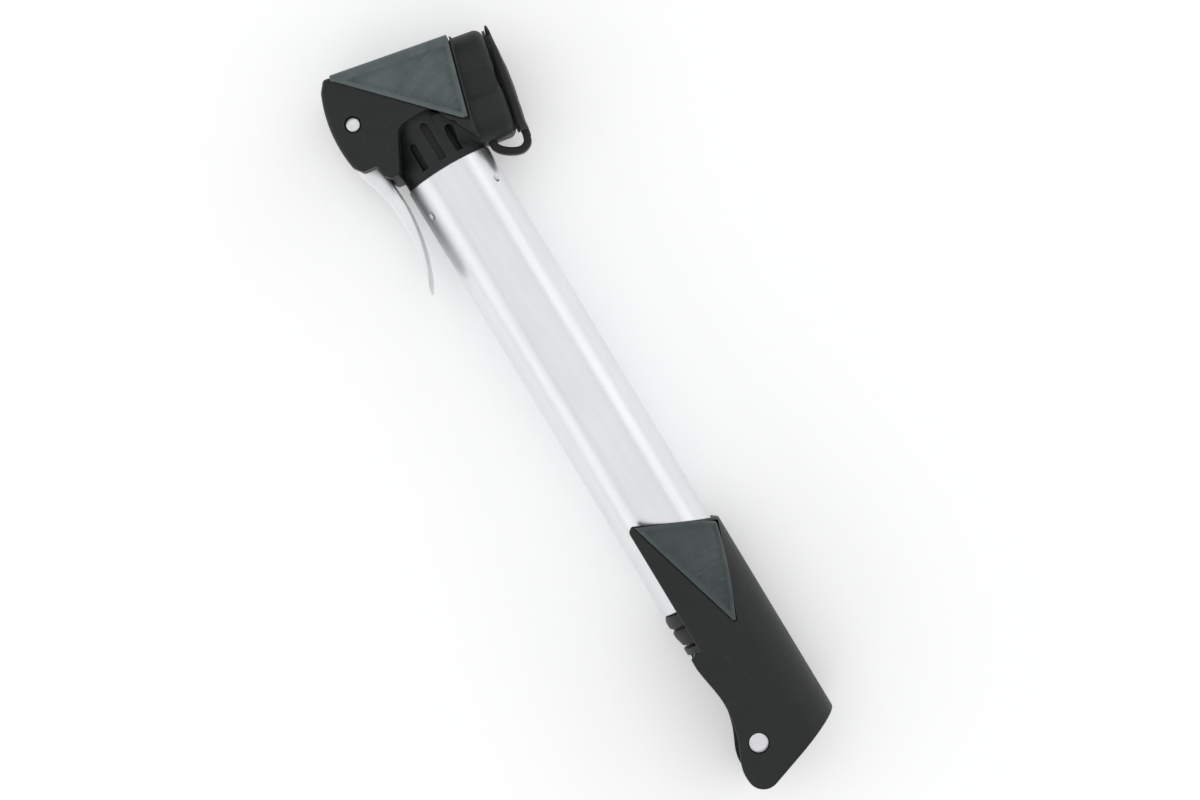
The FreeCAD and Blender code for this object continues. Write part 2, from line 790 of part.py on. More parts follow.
def make_dust_cap():
    inner = DIMENSIONS["cap_inner"]
    hx, hy = DIMENSIONS["cap_hinge_x"], DIMENSIONS["cap_hinge_y"]
    knuckle = DIMENSIONS["cap_knuckle"]
    profile = [
        Part.LineSegment(Vector(hx - knuckle, hy, 0), Vector(inner, 6.0, 0)),
        Part.LineSegment(Vector(inner, 6.0, 0), Vector(inner, 30.0, 0)),
        Part.LineSegment(Vector(inner, 30.0, 0), Vector(22.9, 33.6, 0)),
        Part.Arc(Vector(22.9, 33.6, 0), Vector(23.6, 34.0, 0), Vector(24.0, 33.2, 0)),
        Part.Arc(Vector(24.0, 33.2, 0), Vector(25.4, 17.5, 0), Vector(hx + knuckle, hy, 0)),
        Part.Arc(
            Vector(hx + knuckle, hy, 0), Vector(hx, hy - knuckle, 0), Vector(hx - knuckle, hy, 0)
        ),
    ]
    wide = DIMENSIONS["cap_half"]
    side = slab("CapSide", profile, dim("cap_half"), PORT)
    # Seen along the valve axis the cap is a rounded oblong with a narrow pull tab and root.
    plan_outline = rounded(
        [
            (0.0, -3.2),
            (3.6, -3.2, 2.0),
            (5.4, -wide, 5.0),
            (29.6, -wide, 7.5),
            (31.0, -3.0, 1.5),
            (34.2, -3.0, 1.5),
            (34.2, 3.0, 1.5),
            (31.0, 3.0, 1.5),
            (29.6, wide, 7.5),
            (5.4, wide, 5.0),
            (3.6, 3.2, 2.0),
            (0.0, 3.2),
        ]
    )
    plan = slab("CapPlan", plan_outline, 40, PORT, "YZ_Plane")
    plate = overlap("CapCover", side, plan)
    plugs = [
        cone("WidePlug", 2.4, 3.4, 2.3, (inner - 2.0, dim("wide_port_y"), 0), "x", PORT),
        cone("NarrowPlug", 1.5, 2.4, 2.3, (inner - 2.0, dim("narrow_port_y"), 0), "x", PORT),
    ]
    # A lip round both ports closes the joint between the cap and the boss.
    lip_low, lip_high = DIMENSIONS["boss_face"] + 0.05, inner + 0.2
    y_low, y_high = dim("narrow_port_y"), dim("wide_port_y")
    lip = cut(
        "CapLip",
        racetrack("LipOut", lip_low, lip_high, 7.6, y_low, y_high),
        [racetrack("LipIn", lip_low - 1, lip_high + 1, 6.8, y_low, y_high)],
    )
    finished(join("DustCap", [plate, lip] + plugs), "dust_cap")


def make_strap():
    hx, hy = DIMENSIONS["cap_hinge_x"], DIMENSIONS["cap_hinge_y"]
    start = PORT.multVec(Vector(hx, hy - DIMENSIONS["cap_knuckle"] - 0.3, 0))
    foot = 14.6
    line = [
        (start.x, start.y, 0),
        (5.9, 23.2, 1.7),
        (5.5, 19.6, 2.4),
        (2.6, 15.9, 3.0),
        (0.75, foot + 0.3, 0),
    ]
    band = slab("StrapBand", ribbon(line, DIMENSIONS["strap_thickness"]), dim("strap_half"))
    foot_pad = block("StrapFoot", (-3, foot - 1.0, -2.6), (1.6, foot + 2.6, 2.6))
    solid = join("StrapSolid", [band, foot_pad])
    # The foot is bonded to the boss's underside.
    under = block("BossUnderside", (-2, dim("boss_low"), -20), (40, 60, 20), PORT)
    finished(cut("Strap", solid, [under]), "dust_cap_strap")


# ---------------------------------------------------------------- piston and rod


def make_piston():
    back, length = dim("piston_back"), dim("piston_length")
    radius = dim("piston_radius")
    groove_low, groove_high, groove_floor = back + 3.4, back + 6.0, 9.2
    head = turned(
        "PistonHead",
        [
            (back, 0),
            (back + length, 0),
            (back + length, radius - 0.8),
            (back + length - 0.8, radius),
            (groove_high, radius),
            (groove_high, groove_floor),
            (groove_low, groove_floor),
            (groove_low, radius),
            (back + 0.8, radius),
            (back, radius - 0.8),
        ],
    )
    press = dim("press_gap")
    screw_bore = dim("screw_radius") + press
    rod_hole = cylinder("RodSocket", dim("rod_radius") + press, 10, (back + 5.0, 0, 0))
    screw_hole = cylinder("ScrewHole", screw_bore, 20, (back - 1, 0, 0))
    screw_room = cylinder("ScrewRoom", 3.8, 3.6, (back - 1, 0, 0))
    finished(cut("Piston", head, [rod_hole, screw_hole, screw_room]), "piston_head")

    section = 0.96
    mean = dim("barrel_bore") - 0.05 - section
    finished(ring("PistonRing", mean, section, back + 4.7), "piston_o_ring")

    screw = turned(
        "PistonScrew",
        [
            (back + 0.4, 1.2),
            (back + 1.6, 1.2),
            (back + 1.6, 0),
            (back + 16.0, 0),
            (back + 16.0, dim("screw_radius")),
            (back + 2.6, dim("screw_radius")),
            (back + 2.6, 3.5),
            (back + 0.4, 3.5),
        ],
    )
    finished(screw, "piston_screw")

    start = back + 5.0
    bore = dim("rod_bore")
    rod = turned(
        "Rod",
        [
            (start, screw_bore),
            (start + 14.0, screw_bore),
            (start + 14.0, bore),
            (dim("rod_end_x"), bore),
            (dim("rod_end_x"), dim("rod_radius")),
            (start, dim("rod_radius")),
        ],
    )
    pin_x, pin_half = dim("cross_pin_x"), dim("cross_pin_half")
    pin_radius = dim("cross_pin_radius")
    hole = cylinder("RodPinHole", pin_radius + press, 20, (pin_x, 0, -10), "z")
    finished(cut("PistonRod", rod, [hole]), "piston_rod")
    cross_pin = cylinder("CrossPin", pin_radius, pin_half * 2, (pin_x, 0, -pin_half), "z")
    finished(cross_pin, "rod_cross_pin")


def make_gland():
    end = dim("barrel_length")
    outside = dim("gland_radius")
    inside = end - dim("gland_depth")
    flange = end + dim("gland_flange")
    rod_hole = dim("rod_radius") + 0.3
    cap = turned(
        "Gland",
        [
            (inside, 6.02),
            (end - 1.0, 6.02),
            (end - 1.0, rod_hole),
            (end + 0.8, rod_hole),
            (end + 0.8, 6.62),
            (end + 2.82, 6.62),
            (end + 2.82, rod_hole),
            (flange, rod_hole),
            (flange, outside - 0.9),
            (flange - 0.9, outside),
            (end + 1.6, outside),
            (end + 0.5, outside - 0.5),
            (end, outside - 1.4),
            (end, dim("barrel_bore") - 0.03),
            (inside, dim("barrel_bore") - 0.03),
        ],
    )
    finished(cap, "barrel_end_cap")
    gap = dim("rod_radius") + dim("running_gap")
    bush = turned("Bush", tube_outline(inside + 0.4, end - 1.0, gap, 6.0))
    finished(bush, "rod_bush")
    wiper = turned(
        "Wiper",
        [
            (end + 0.82, 5.3),
            (end + 1.5, 5.3),
            (end + 2.2, gap),
            (end + 2.8, gap),
            (end + 2.8, 6.6),
            (end + 0.82, 6.6),
        ],
    )
    finished(wiper, "rod_wiper")


# ---------------------------------------------------------------- carrier and handle


def channel(name, radius, x_low, x_high):
    """A bar with a half-round side to +Y and flat sides towards -Y."""
    length = x_high - x_low
    parts = [
        cylinder(name + "Round", radius, length, (x_low, 0, 0)),
        block(name + "Flat", (x_low, -30, -radius), (x_high, 0, radius)),
    ]
    return join(name, parts)


def make_bumper():
    face = dim("carrier_face")
    ring_body = turned(
        "Bumper",
        [
            (face - 4.5, dim("rod_radius") + dim("press_gap")),
            (face, dim("rod_radius") + dim("press_gap")),
            (face, 12.3),
            (face - 2.6, 13.0),
            (face - 4.0, 13.0),
            (face - 4.5, 12.5),
        ],
    )
    finished(ring_body, "bumper_ring")


def make_carrier():
    face = dim("carrier_face")
    px, py = DIMENSIONS["handle_pin_x"], DIMENSIONS["handle_pin_y"]
    collar = turned(
        "CarrierCollar",
        [
            (face, 0),
            (face + 8.0, 0),
            (face + 8.0, 9.3),
            (face + 3.0, 9.3),
            (face + 3.0, 12.6),
            (face + 1.1, 12.6),
            (face + 1.1, 9.5),
            (face, 9.5),
        ],
    )
    start = DIMENSIONS["carrier_face"] + 4.3
    web = rounded(
        [
            (start, -11.6, 1.0),
            (start, 12.0, 1.0),
            (start + 5.5, 12.0, 4.0),
            (px + 3.0, py + 7.6, 3.0),
            (px + 7.2, py, 4.0),
            (px + 4.5, py - 3.0, 2.0),
            (px - 12.0, -9.6, 4.0),
            (start + 6.0, -11.6, 4.0),
        ]
    )
    half = dim("carrier_half")
    arm = slab("CarrierArm", web, half)
    shaped = overlap("CarrierShape", arm, channel("CarrierRoom", half, 140, 200))
    eye = cylinder("CarrierEye", 7.9, half * 2, (px, py, -half), "z")
    eye_cut = overlap("CarrierEyeCut", eye, block("EyeRoom", (px - 9, -11.4, -20), (200, 20, 20)))
    solid = join("CarrierSolid", [collar, shaped, eye_cut])
    press = dim("press_gap")
    cross_bore = dim("cross_pin_radius") + press
    eye_bore = dim("handle_pin_radius") + dim("running_gap")
    cuts = [
        cylinder("RodHole", dim("rod_radius") + press, 25, (face - 6.4, 0, 0)),
        cylinder("CrossPinHole", cross_bore, 40, (dim("cross_pin_x"), 0, -20), "z"),
        cylinder("EyeHole", eye_bore, 40, (px, py, -20), "z"),
    ]
    finished(cut("Carrier", solid, cuts), "rod_end_carrier")


def handle_outline():
    """Outline of the handle, tip first, then the valve side, the end and the open side."""
    lobe = Part.Arc(Vector(190.3, -9.6, 0), Vector(189.6, -13.9, 0), Vector(185.8, -15.8, 0))
    waist = Part.BSplineCurve()
    waist.interpolate(
        [
            Vector(185.8, -15.8, 0),
            Vector(181.0, -15.2, 0),
            Vector(176.3, -13.1, 0),
            Vector(170.5, -11.4, 0),
            Vector(163.6, -10.7, 0),
            Vector(157.5, -11.5, 0),
            Vector(152.6, -12.2, 0),
        ]
    )
    corners = rounded(
        [
            (152.6, -12.2),
            (149.4, -12.2, 0.8),
            (149.0, -8.9, 0.8),
            (111.2, -8.9, 1.5),
            (110.2, -7.4, 0.6),
            (121.2, 15.6, 0.8),
            (181.9, 15.6, 1.6),
            (190.3, -9.6),
        ]
    )
    # The last straight line would close the outline, where the lobe and waist run instead.
    return corners[:-1] + [lobe, waist]


HANDLE_TRIANGLE = [(110.9, -6.9), (121.3, 13.5), (147.3, 3.6)]


def handle_triangle(grow):
    middle = Vector(*[sum(c[i] for c in HANDLE_TRIANGLE) / 3 for i in (0, 1)], 0)
    corners = [Vector(x, y, 0) for x, y in HANDLE_TRIANGLE]
    moved = []
    for i, corner in enumerate(corners):
        to_next = (corners[(i + 1) % 3] - corner).normalize()
        to_last = (corners[i - 1] - corner).normalize()
        outward = (to_next + to_last).normalize() * -1
        spread = grow / math.sin(to_next.getAngle(to_last) / 2)
        moved.append(corner + outward * spread)
    return rounded([(c.x, c.y, 0.7) for c in moved])


def insert_layer(name, grow, low, high, sign):
    """The layer between two distances from the handle's skin, over one triangle."""
    half = DIMENSIONS["handle_half"]
    layer = cut(
        name + "Layer",
        channel(name + "Outer", half + high, 100, 160),
        [channel(name + "Inner", half + low, 90, 170)],
    )
    prism = slab(name + "Prism", handle_triangle(grow), 30)
    z_low, z_high = (0, 30) if sign > 0 else (-30, 0)
    side = block(name + "Side", (90, -30, z_low), (170, 30, z_high))
    return overlap(name + "Face", overlap(name + "Both", layer, prism), side)


def make_handle():
    half, wall = dim("handle_half"), dim("handle_wall")
    px, py = dim("handle_pin_x"), dim("handle_pin_y")
    blank = slab("HandleSlab", handle_outline(), 20)
    outer = overlap("HandleOuter", blank, channel("HandleRound", half, 100, 200))

    def is_rim(edge):
        """All edges but the long straight ones where the flat sides meet the round back."""
        return edge.BoundBox.YLength > 0.01 or edge.BoundBox.ZLength > 0.01

    soft_outer = soften("SoftHandle", outer, 0.7, is_rim)
    room = rounded(
        [
            (100, -40),
            (100, 40),
            (179.6, 40),
            (180.6, 11.6, 2.0),
            (187.3, -5.2, 6.0),
            (187.3, -16.2, 2.0),
            (184.6, -40),
        ]
    )
    inner = overlap(
        "HandleInner", slab("HandleRoom", room, 20), channel("HandleBore", half - wall, 90, 210)
    )
    pin_hole = dim("handle_pin_radius") + dim("press_gap")
    pocket, pocket_floor = dim("handle_head_radius") + 0.35, half - 0.7
    cuts = [
        inner,
        cylinder("HandlePinHole", pin_hole, 40, (px, py, -20), "z"),
        cylinder("PocketUp", pocket, 5, (px, py, pocket_floor), "z"),
        cylinder("PocketDown", pocket, 5, (px, py, -pocket_floor - 5), "z"),
    ]
    depth = DIMENSIONS["insert_depth"]
    for name, sign in (("FrontSeat", 1), ("BackSeat", -1)):
        cuts.append(insert_layer(name, DIMENSIONS["insert_gap"], -depth, 2.0, sign))
    finished(cut("HandleShell", soft_outer, cuts), "handle_shell")

    proud = DIMENSIONS["insert_plane"] - DIMENSIONS["handle_half"]
    for name, sign in (("front", 1), ("back", -1)):
        pad = insert_layer("Insert" + name, 0.0, -depth, proud, sign)
        finished(pad, f"handle_insert_{name}")

    pin = rivet(
        "HandlePin",
        dim("handle_pin_radius"),
        dim("handle_head_radius"),
        px,
        py,
        half,
        0.68,
    )
    finished(pin, "handle_pin")


# ---------------------------------------------------------------- build, test and write

make_barrel()
make_head_body()
make_head_insert()
make_port_cap()
make_twin_gasket()
make_plunger()
make_depressor_pin()
make_check_valve()
make_spigot_ring()
make_lever()
make_lever_pin()
make_dust_cap()
make_strap()
make_piston()
make_gland()
make_bumper()
make_carrier()
make_handle()
doc.recompute()

for thing in doc.Objects:
    bad = {"Invalid", "Error"} & set(thing.State)
    if bad:
        raise RuntimeError(f"{thing.Name} is {bad}")
for thing in subparts:
    shape = thing.Shape
    if shape.isNull() or not shape.isValid() or not shape.Solids:
        raise RuntimeError(f"{thing.Label} has no valid shape")

os.makedirs("parts", exist_ok=True)
for thing in subparts:
    thing.Shape.exportStep(f"parts/{thing.Label}.step")
    print(f"{thing.Label}: {len(thing.Shape.Solids)} solid(s), {thing.Shape.Volume:.1f} mm3")
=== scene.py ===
import json
import math

import bmesh
import bpy
from mathutils import Matrix, Vector
from mathutils.geometry import interpolate_bezier


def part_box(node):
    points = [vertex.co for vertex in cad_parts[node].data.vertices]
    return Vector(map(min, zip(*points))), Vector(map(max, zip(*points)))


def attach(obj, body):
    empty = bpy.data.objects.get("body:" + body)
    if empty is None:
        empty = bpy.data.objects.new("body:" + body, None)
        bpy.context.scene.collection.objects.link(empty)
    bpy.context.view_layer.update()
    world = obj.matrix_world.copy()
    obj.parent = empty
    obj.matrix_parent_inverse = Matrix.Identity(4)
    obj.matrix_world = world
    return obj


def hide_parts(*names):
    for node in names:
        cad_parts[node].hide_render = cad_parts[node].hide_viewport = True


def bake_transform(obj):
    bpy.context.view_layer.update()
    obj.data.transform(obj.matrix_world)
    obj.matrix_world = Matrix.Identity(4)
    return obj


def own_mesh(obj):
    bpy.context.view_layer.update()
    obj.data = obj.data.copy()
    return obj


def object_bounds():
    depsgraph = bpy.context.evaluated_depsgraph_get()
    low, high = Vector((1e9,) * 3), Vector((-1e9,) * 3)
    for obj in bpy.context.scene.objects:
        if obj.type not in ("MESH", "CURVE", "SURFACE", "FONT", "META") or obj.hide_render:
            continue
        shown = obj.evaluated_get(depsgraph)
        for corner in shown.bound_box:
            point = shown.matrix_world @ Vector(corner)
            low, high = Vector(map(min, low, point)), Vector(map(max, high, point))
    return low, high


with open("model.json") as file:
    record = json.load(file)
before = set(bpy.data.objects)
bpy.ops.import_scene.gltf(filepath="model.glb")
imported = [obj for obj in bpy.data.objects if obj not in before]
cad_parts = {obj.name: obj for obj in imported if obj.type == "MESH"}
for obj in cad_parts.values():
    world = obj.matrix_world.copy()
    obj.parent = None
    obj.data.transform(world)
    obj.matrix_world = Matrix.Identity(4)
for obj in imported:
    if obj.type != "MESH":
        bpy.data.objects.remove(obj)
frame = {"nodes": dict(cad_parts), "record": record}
cad_low, cad_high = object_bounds()

MM = 0.001


# ---------------------------------------------------------------- camera, light and floor

CAMERA_PLACE = (0.0763, 0.0031, 0.650)
CAMERA_RIGHT = (0.5164, 0.8563, 0.0)     # the picture's right-hand side, on the floor
LENS, SENSOR = 70.24, 36.0
CLIP = (0.01, 20.0)

ROOM_COLOUR = (0.98, 0.99, 1.0, 1.0)
ROOM_STRENGTH = 0.52
LIGHT_AIM = (0.07, 0.0, 0.0)             # the middle of the pump
# Area lights: name, place, size and power.
LIGHTS = (
    ("overhead", (0.07, 0.0, 1.30), (2.6, 2.6), 9.6),
    ("strip_left", (0.07, -0.62, 0.25), (1.1, 0.42), 0.98),
    ("strip_right", (0.07, 0.62, 0.25), (1.1, 0.42), 1.04),
)

FLOOR_HALF = 8.0
FLOOR_GAP = 0.05 * MM                    # the floor lies this far under the pump


def make_camera():
    """Straight down on the pump, which runs across the picture from upper left to lower right."""
    data = bpy.data.cameras.new("camera")
    data.lens, data.sensor_width = LENS, SENSOR
    data.clip_start, data.clip_end = CLIP
    camera = bpy.data.objects.new("camera", data)
    bpy.context.scene.collection.objects.link(camera)
    right = Vector(CAMERA_RIGHT).normalized()
    up = Vector((-right.y, right.x, 0.0))
    turn = Matrix((right, up, Vector((0, 0, 1)))).transposed()
    camera.matrix_world = Matrix.Translation(CAMERA_PLACE) @ turn.to_4x4()
    bpy.context.scene.camera = camera


def area_light(name, place, size, power):
    """A rectangular light that looks at the middle of the pump."""
    data = bpy.data.lights.new(name, "AREA")
    data.shape = "RECTANGLE"
    data.size, data.size_y = size
    data.energy = power
    light = bpy.data.objects.new(name, data)
    bpy.context.scene.collection.objects.link(light)
    light.location = place
    light.rotation_mode = "QUATERNION"
    aim = Vector(LIGHT_AIM) - Vector(place)
    light.rotation_quaternion = aim.to_track_quat("-Z", "Y")


def make_light():
    """An even grey room, a big overhead light and two strip lights that run along the barrel."""
    world = bpy.data.worlds.new("studio")
    bpy.context.scene.world = world
    world.use_nodes = True
    sky = world.node_tree.nodes["Background"]
    sky.inputs["Color"].default_value = ROOM_COLOUR
    sky.inputs["Strength"].default_value = ROOM_STRENGTH
    for name, place, size, power in LIGHTS:
        area_light(name, place, size, power)


def make_floor():
    """A flat square of paper just under the pump."""
    far, low = FLOOR_HALF, cad_low.z - FLOOR_GAP
    mesh = bpy.data.meshes.new("floor")
    corners = [(-far, -far, low), (far, -far, low), (far, far, low), (-far, far, low)]
    mesh.from_pydata(corners, [], [(0, 1, 2, 3)])
    floor = bpy.data.objects.new("floor", mesh)
    bpy.context.scene.collection.objects.link(floor)
    mesh.materials.append(paper())


# ---------------------------------------------------------------- materials


class Look:
    """A material and short ways to add nodes to it. Patterns use object coordinates, in metres.

    The plain colour and roughness given at the start show only where the nodes can't be read.
    """

    def __init__(self, name, colour, rough, metal=0.0, spec=0.5):
        self.material = bpy.data.materials.new(name)
        self.material.use_nodes = True
        self.tree = self.material.node_tree
        self.shader = self.tree.nodes["Principled BSDF"]
        self.shader.inputs["Base Color"].default_value = (*colour, 1.0)
        self.shader.inputs["Metallic"].default_value = metal
        self.shader.inputs["Roughness"].default_value = rough
        self.shader.inputs["Specular IOR Level"].default_value = spec
        self.place = self.tree.nodes.new("ShaderNodeTexCoord").outputs["Object"]

    def link(self, source, target):
        self.tree.links.new(source, target)

    def stretched(self, scale):
        node = self.tree.nodes.new("ShaderNodeMapping")
        node.inputs["Scale"].default_value = scale
        self.link(self.place, node.inputs["Vector"])
        return node.outputs["Vector"]

    def noise(self, scale, detail, rough=0.5, warp=0.0, place=None):
        node = self.tree.nodes.new("ShaderNodeTexNoise")
        node.inputs["Scale"].default_value = scale
        node.inputs["Detail"].default_value = detail
        node.inputs["Roughness"].default_value = rough
        node.inputs["Distortion"].default_value = warp
        self.link(place or self.place, node.inputs["Vector"])
        return node.outputs["Fac"]

    def cells(self, scale):
        node = self.tree.nodes.new("ShaderNodeTexVoronoi")
        node.inputs["Scale"].default_value = scale
        self.link(self.place, node.inputs["Vector"])
        return node.outputs["Distance"]

    def rings(self, scale, axis="X"):
        """Fine turned rings round an axis, broken up a little."""
        node = self.tree.nodes.new("ShaderNodeTexWave")
        node.wave_type = "BANDS"
        node.bands_direction = axis
        node.inputs["Scale"].default_value = scale
        node.inputs["Distortion"].default_value = 0.6
        node.inputs["Detail"].default_value = 2.0
        self.link(self.place, node.inputs["Vector"])
        return node.outputs["Fac"]

    def spread(self, source, low, high, to_low=0.0, to_high=1.0):
        node = self.tree.nodes.new("ShaderNodeMapRange")
        for socket, value in zip(("From Min", "From Max", "To Min", "To Max"),
                                 (low, high, to_low, to_high)):
            node.inputs[socket].default_value = value
        self.link(source, node.inputs["Value"])
        return node.outputs["Result"]

    def blend(self, factor, first, second):
        """A colour between two others; each is a colour or the output of another blend."""
        node = self.tree.nodes.new("ShaderNodeMix")
        node.data_type = "RGBA"
        self.link(factor, node.inputs["Factor"])
        for socket, value in (("A", first), ("B", second)):
            target = next(s for s in node.inputs if s.name == socket and s.type == "RGBA")
            if isinstance(value, tuple):
                target.default_value = (*value, 1.0)
            else:
                self.link(value, target)
        return next(s for s in node.outputs if s.type == "RGBA")

    def maths(self, kind, first, second):
        node = self.tree.nodes.new("ShaderNodeMath")
        node.operation = kind
        node.use_clamp = True
        for i, value in enumerate((first, second)):
            if isinstance(value, float):
                node.inputs[i].default_value = value
            else:
                self.link(value, node.inputs[i])
        return node.outputs["Value"]

    def rounded_normal(self, radius):
        node = self.tree.nodes.new("ShaderNodeBevel")
        node.samples = 4
        node.inputs["Radius"].default_value = radius
        return node.outputs["Normal"]

    def edges(self, radius, low=0.03, high=0.35):
        """1 on edges, 0 elsewhere: how far a rounded normal leaves the real one."""
        true = self.tree.nodes.new("ShaderNodeNewGeometry")
        dot = self.tree.nodes.new("ShaderNodeVectorMath")
        dot.operation = "DOT_PRODUCT"
        self.link(self.rounded_normal(radius), dot.inputs[0])
        self.link(true.outputs["Normal"], dot.inputs[1])
        return self.spread(dot.outputs["Value"], 1.0 - low, 1.0 - high)

    def hollows(self, reach, low=0.35, high=0.95):
        """1 down in grooves and narrow gaps, 0 on open surface."""
        node = self.tree.nodes.new("ShaderNodeAmbientOcclusion")
        node.samples = 6
        node.only_local = True
        node.inputs["Distance"].default_value = reach
        return self.spread(node.outputs["AO"], high, low)

    def along_x(self, start, end):
        """0 before a place along the pump, 1 after another, even in between."""
        split = self.tree.nodes.new("ShaderNodeSeparateXYZ")
        self.link(self.place, split.inputs["Vector"])
        return self.spread(split.outputs["X"], start, end)

    def bump(self, height, distance, strength, under=None):
        """Relief of a depth in metres, over the relief that under gives."""
        node = self.tree.nodes.new("ShaderNodeBump")
        node.inputs["Strength"].default_value = strength
        node.inputs["Distance"].default_value = distance
        self.link(height, node.inputs["Height"])
        if under is not None:
            self.link(under, node.inputs["Normal"])
        return node.outputs["Normal"]

    def finish(self, colour, normal, rough=None):
        self.link(colour, self.shader.inputs["Base Color"])
        self.link(normal, self.shader.inputs["Normal"])
        if rough is not None:
            self.link(rough, self.shader.inputs["Roughness"])
        return self.material


def satin_aluminium():
    """Drawn, brushed, clear-anodised tube: grain along X, faint clouds, rubs, and painted shade
    that darkens the stake dimples.
    """
    look = Look("barrel_aluminium", (0.80, 0.81, 0.82), metal=1.0, rough=0.30)
    along = look.stretched((0.035, 1.0, 1.0))
    grain = look.noise(5200.0, detail=2.0, rough=0.6, place=along)
    drawn = look.noise(900.0, detail=3.0, rough=0.55, place=along)
    cloud = look.noise(38.0, detail=4.0, rough=0.6, warp=0.4)
    short = look.stretched((0.25, 1.0, 1.0))
    rubs = look.noise(260.0, detail=2.0, rough=0.8, warp=1.5, place=short)
    rubbed = look.spread(rubs, 0.66, 0.74)
    worn = look.edges(0.0006)
    clean = look.blend(look.spread(cloud, 0.3, 0.7), (0.765, 0.775, 0.785), (0.815, 0.82, 0.83))
    lined = look.blend(look.spread(drawn, 0.35, 0.65, 0.0, 0.35), clean, (0.73, 0.74, 0.755))
    bright = look.blend(look.maths("MULTIPLY", worn, 0.5), lined, (0.88, 0.88, 0.88))
    # Painted shade: an ambient-occlusion mask darkens the stake dimples and other small hollows
    # towards near black.
    dimple_shade = look.hollows(0.0012, 0.76, 0.985)
    colour = look.blend(dimple_shade, bright, (0.16, 0.16, 0.17))
    rough = look.spread(drawn, 0.25, 0.75, 0.27, 0.37)
    rough = look.maths("ADD", rough, look.maths("MULTIPLY", rubbed, 0.07))
    fine = look.bump(grain, 0.000012, strength=0.5, under=look.rounded_normal(0.0003))
    return look.finish(colour, look.bump(drawn, 0.00003, strength=0.45, under=fine), rough)


def moulded_black(name, tint):
    """Glass-filled nylon from a spark-eroded mould: fine grain, faint flow marks, greyed edges."""
    look = Look(name, tint, rough=0.55, spec=0.36)
    pits = look.cells(2600.0)
    grain = look.noise(3400.0, detail=2.0, rough=0.6)
    flow = look.noise(60.0, detail=4.0, rough=0.6, warp=1.2)
    dust = look.noise(420.0, detail=5.0, rough=0.7)
    worn = look.edges(0.0007)
    deep = tuple(c * 0.72 for c in tint)
    pale = tuple(c * 1.35 for c in tint)
    base = look.blend(look.spread(flow, 0.3, 0.7), deep, pale)
    dusty = look.blend(look.spread(dust, 0.58, 0.80, 0.0, 0.35), base, (0.045, 0.046, 0.045))
    scuffed = look.maths("MULTIPLY", worn, look.spread(dust, 0.35, 0.65, 0.15, 0.6))
    colour = look.blend(scuffed, dusty, (0.06, 0.062, 0.062))
    rough = look.spread(flow, 0.3, 0.7, 0.46, 0.58)
    rough = look.maths("SUBTRACT", rough, look.maths("MULTIPLY", worn, 0.12))
    soft = look.rounded_normal(0.00035)
    fine = look.bump(pits, 0.00005, strength=0.35, under=soft)
    return look.finish(colour, look.bump(grain, 0.00004, strength=0.4, under=fine), rough)


def rubber(name, tint, grain_scale, stipple, sheen=0.0, edge_wear_and_highlight=0.3, groove_shade_strength=0.5, soft=0.0005,
           handle_end_share=1.0):
    """Matt moulded rubber with a fine stipple, a dry bloom, lighter edges that are partly wear and
    partly a painted highlight, and painted shade in its grooves.

    Along X, from 0 to 110 mm, its colour darkens to the given share of the tint, so pads towards
    the handle come out darker.
    """
    look = Look(name, tint, rough=0.7, spec=0.3)
    look.shader.inputs["Sheen Weight"].default_value = sheen
    look.shader.inputs["Sheen Roughness"].default_value = 0.5
    dots = look.cells(grain_scale)
    fine = look.noise(grain_scale * 1.7, detail=2.0, rough=0.6)
    bloom = look.noise(90.0, detail=5.0, rough=0.65, warp=0.8)
    specks = look.noise(700.0, detail=3.0, rough=0.7)
    # Painted shade: an ambient-occlusion mask, 1 down in grooves and narrow gaps.
    groove_shade_mask = look.hollows(0.0018, 0.70, 0.97)
    # Lighter edges, partly wear and partly a painted highlight along the raised pad borders; none
    # down in the grooves.
    worn = look.maths("SUBTRACT", look.edges(soft, 0.02, 0.22), groove_shade_mask)
    deep = tuple(c * 0.80 for c in tint)
    pale = tuple(min(1.0, c * 1.22 + 0.004) for c in tint)
    blooming = look.spread(bloom, 0.3, 0.7)
    base = look.blend(blooming, deep, pale)
    # Darker along X, from 0 to 110 mm, towards the handle.
    if handle_end_share < 1.0:
        handle_end_deep = tuple(c * handle_end_share for c in deep)
        handle_end_pale = tuple(c * handle_end_share for c in pale)
        handle_end_base = look.blend(blooming, handle_end_deep, handle_end_pale)
        base = look.blend(look.along_x(0.0, 0.11), base, handle_end_base)
    dusty = look.blend(look.spread(specks, 0.60, 0.82, 0.0, 0.4), base,
                       tuple(c * 1.6 + 0.02 for c in tint))
    # Edges lighten here: partly wear, partly a painted highlight.
    rubbed = look.blend(look.maths("MULTIPLY", worn, edge_wear_and_highlight), dusty,
                        tuple(c * 1.7 + 0.015 for c in tint))
    # Painted shade: grooves and gaps darken towards a third of the tint.
    groove_shade_colour = tuple(c * 0.35 for c in tint)
    colour = look.blend(look.maths("MULTIPLY", groove_shade_mask, groove_shade_strength), rubbed, groove_shade_colour)
    rough = look.spread(bloom, 0.3, 0.7, 0.62, 0.78)
    under = look.bump(dots, stipple, strength=0.5, under=look.rounded_normal(0.0002))
    return look.finish(colour, look.bump(fine, stipple * 0.6, strength=0.4, under=under), rough)


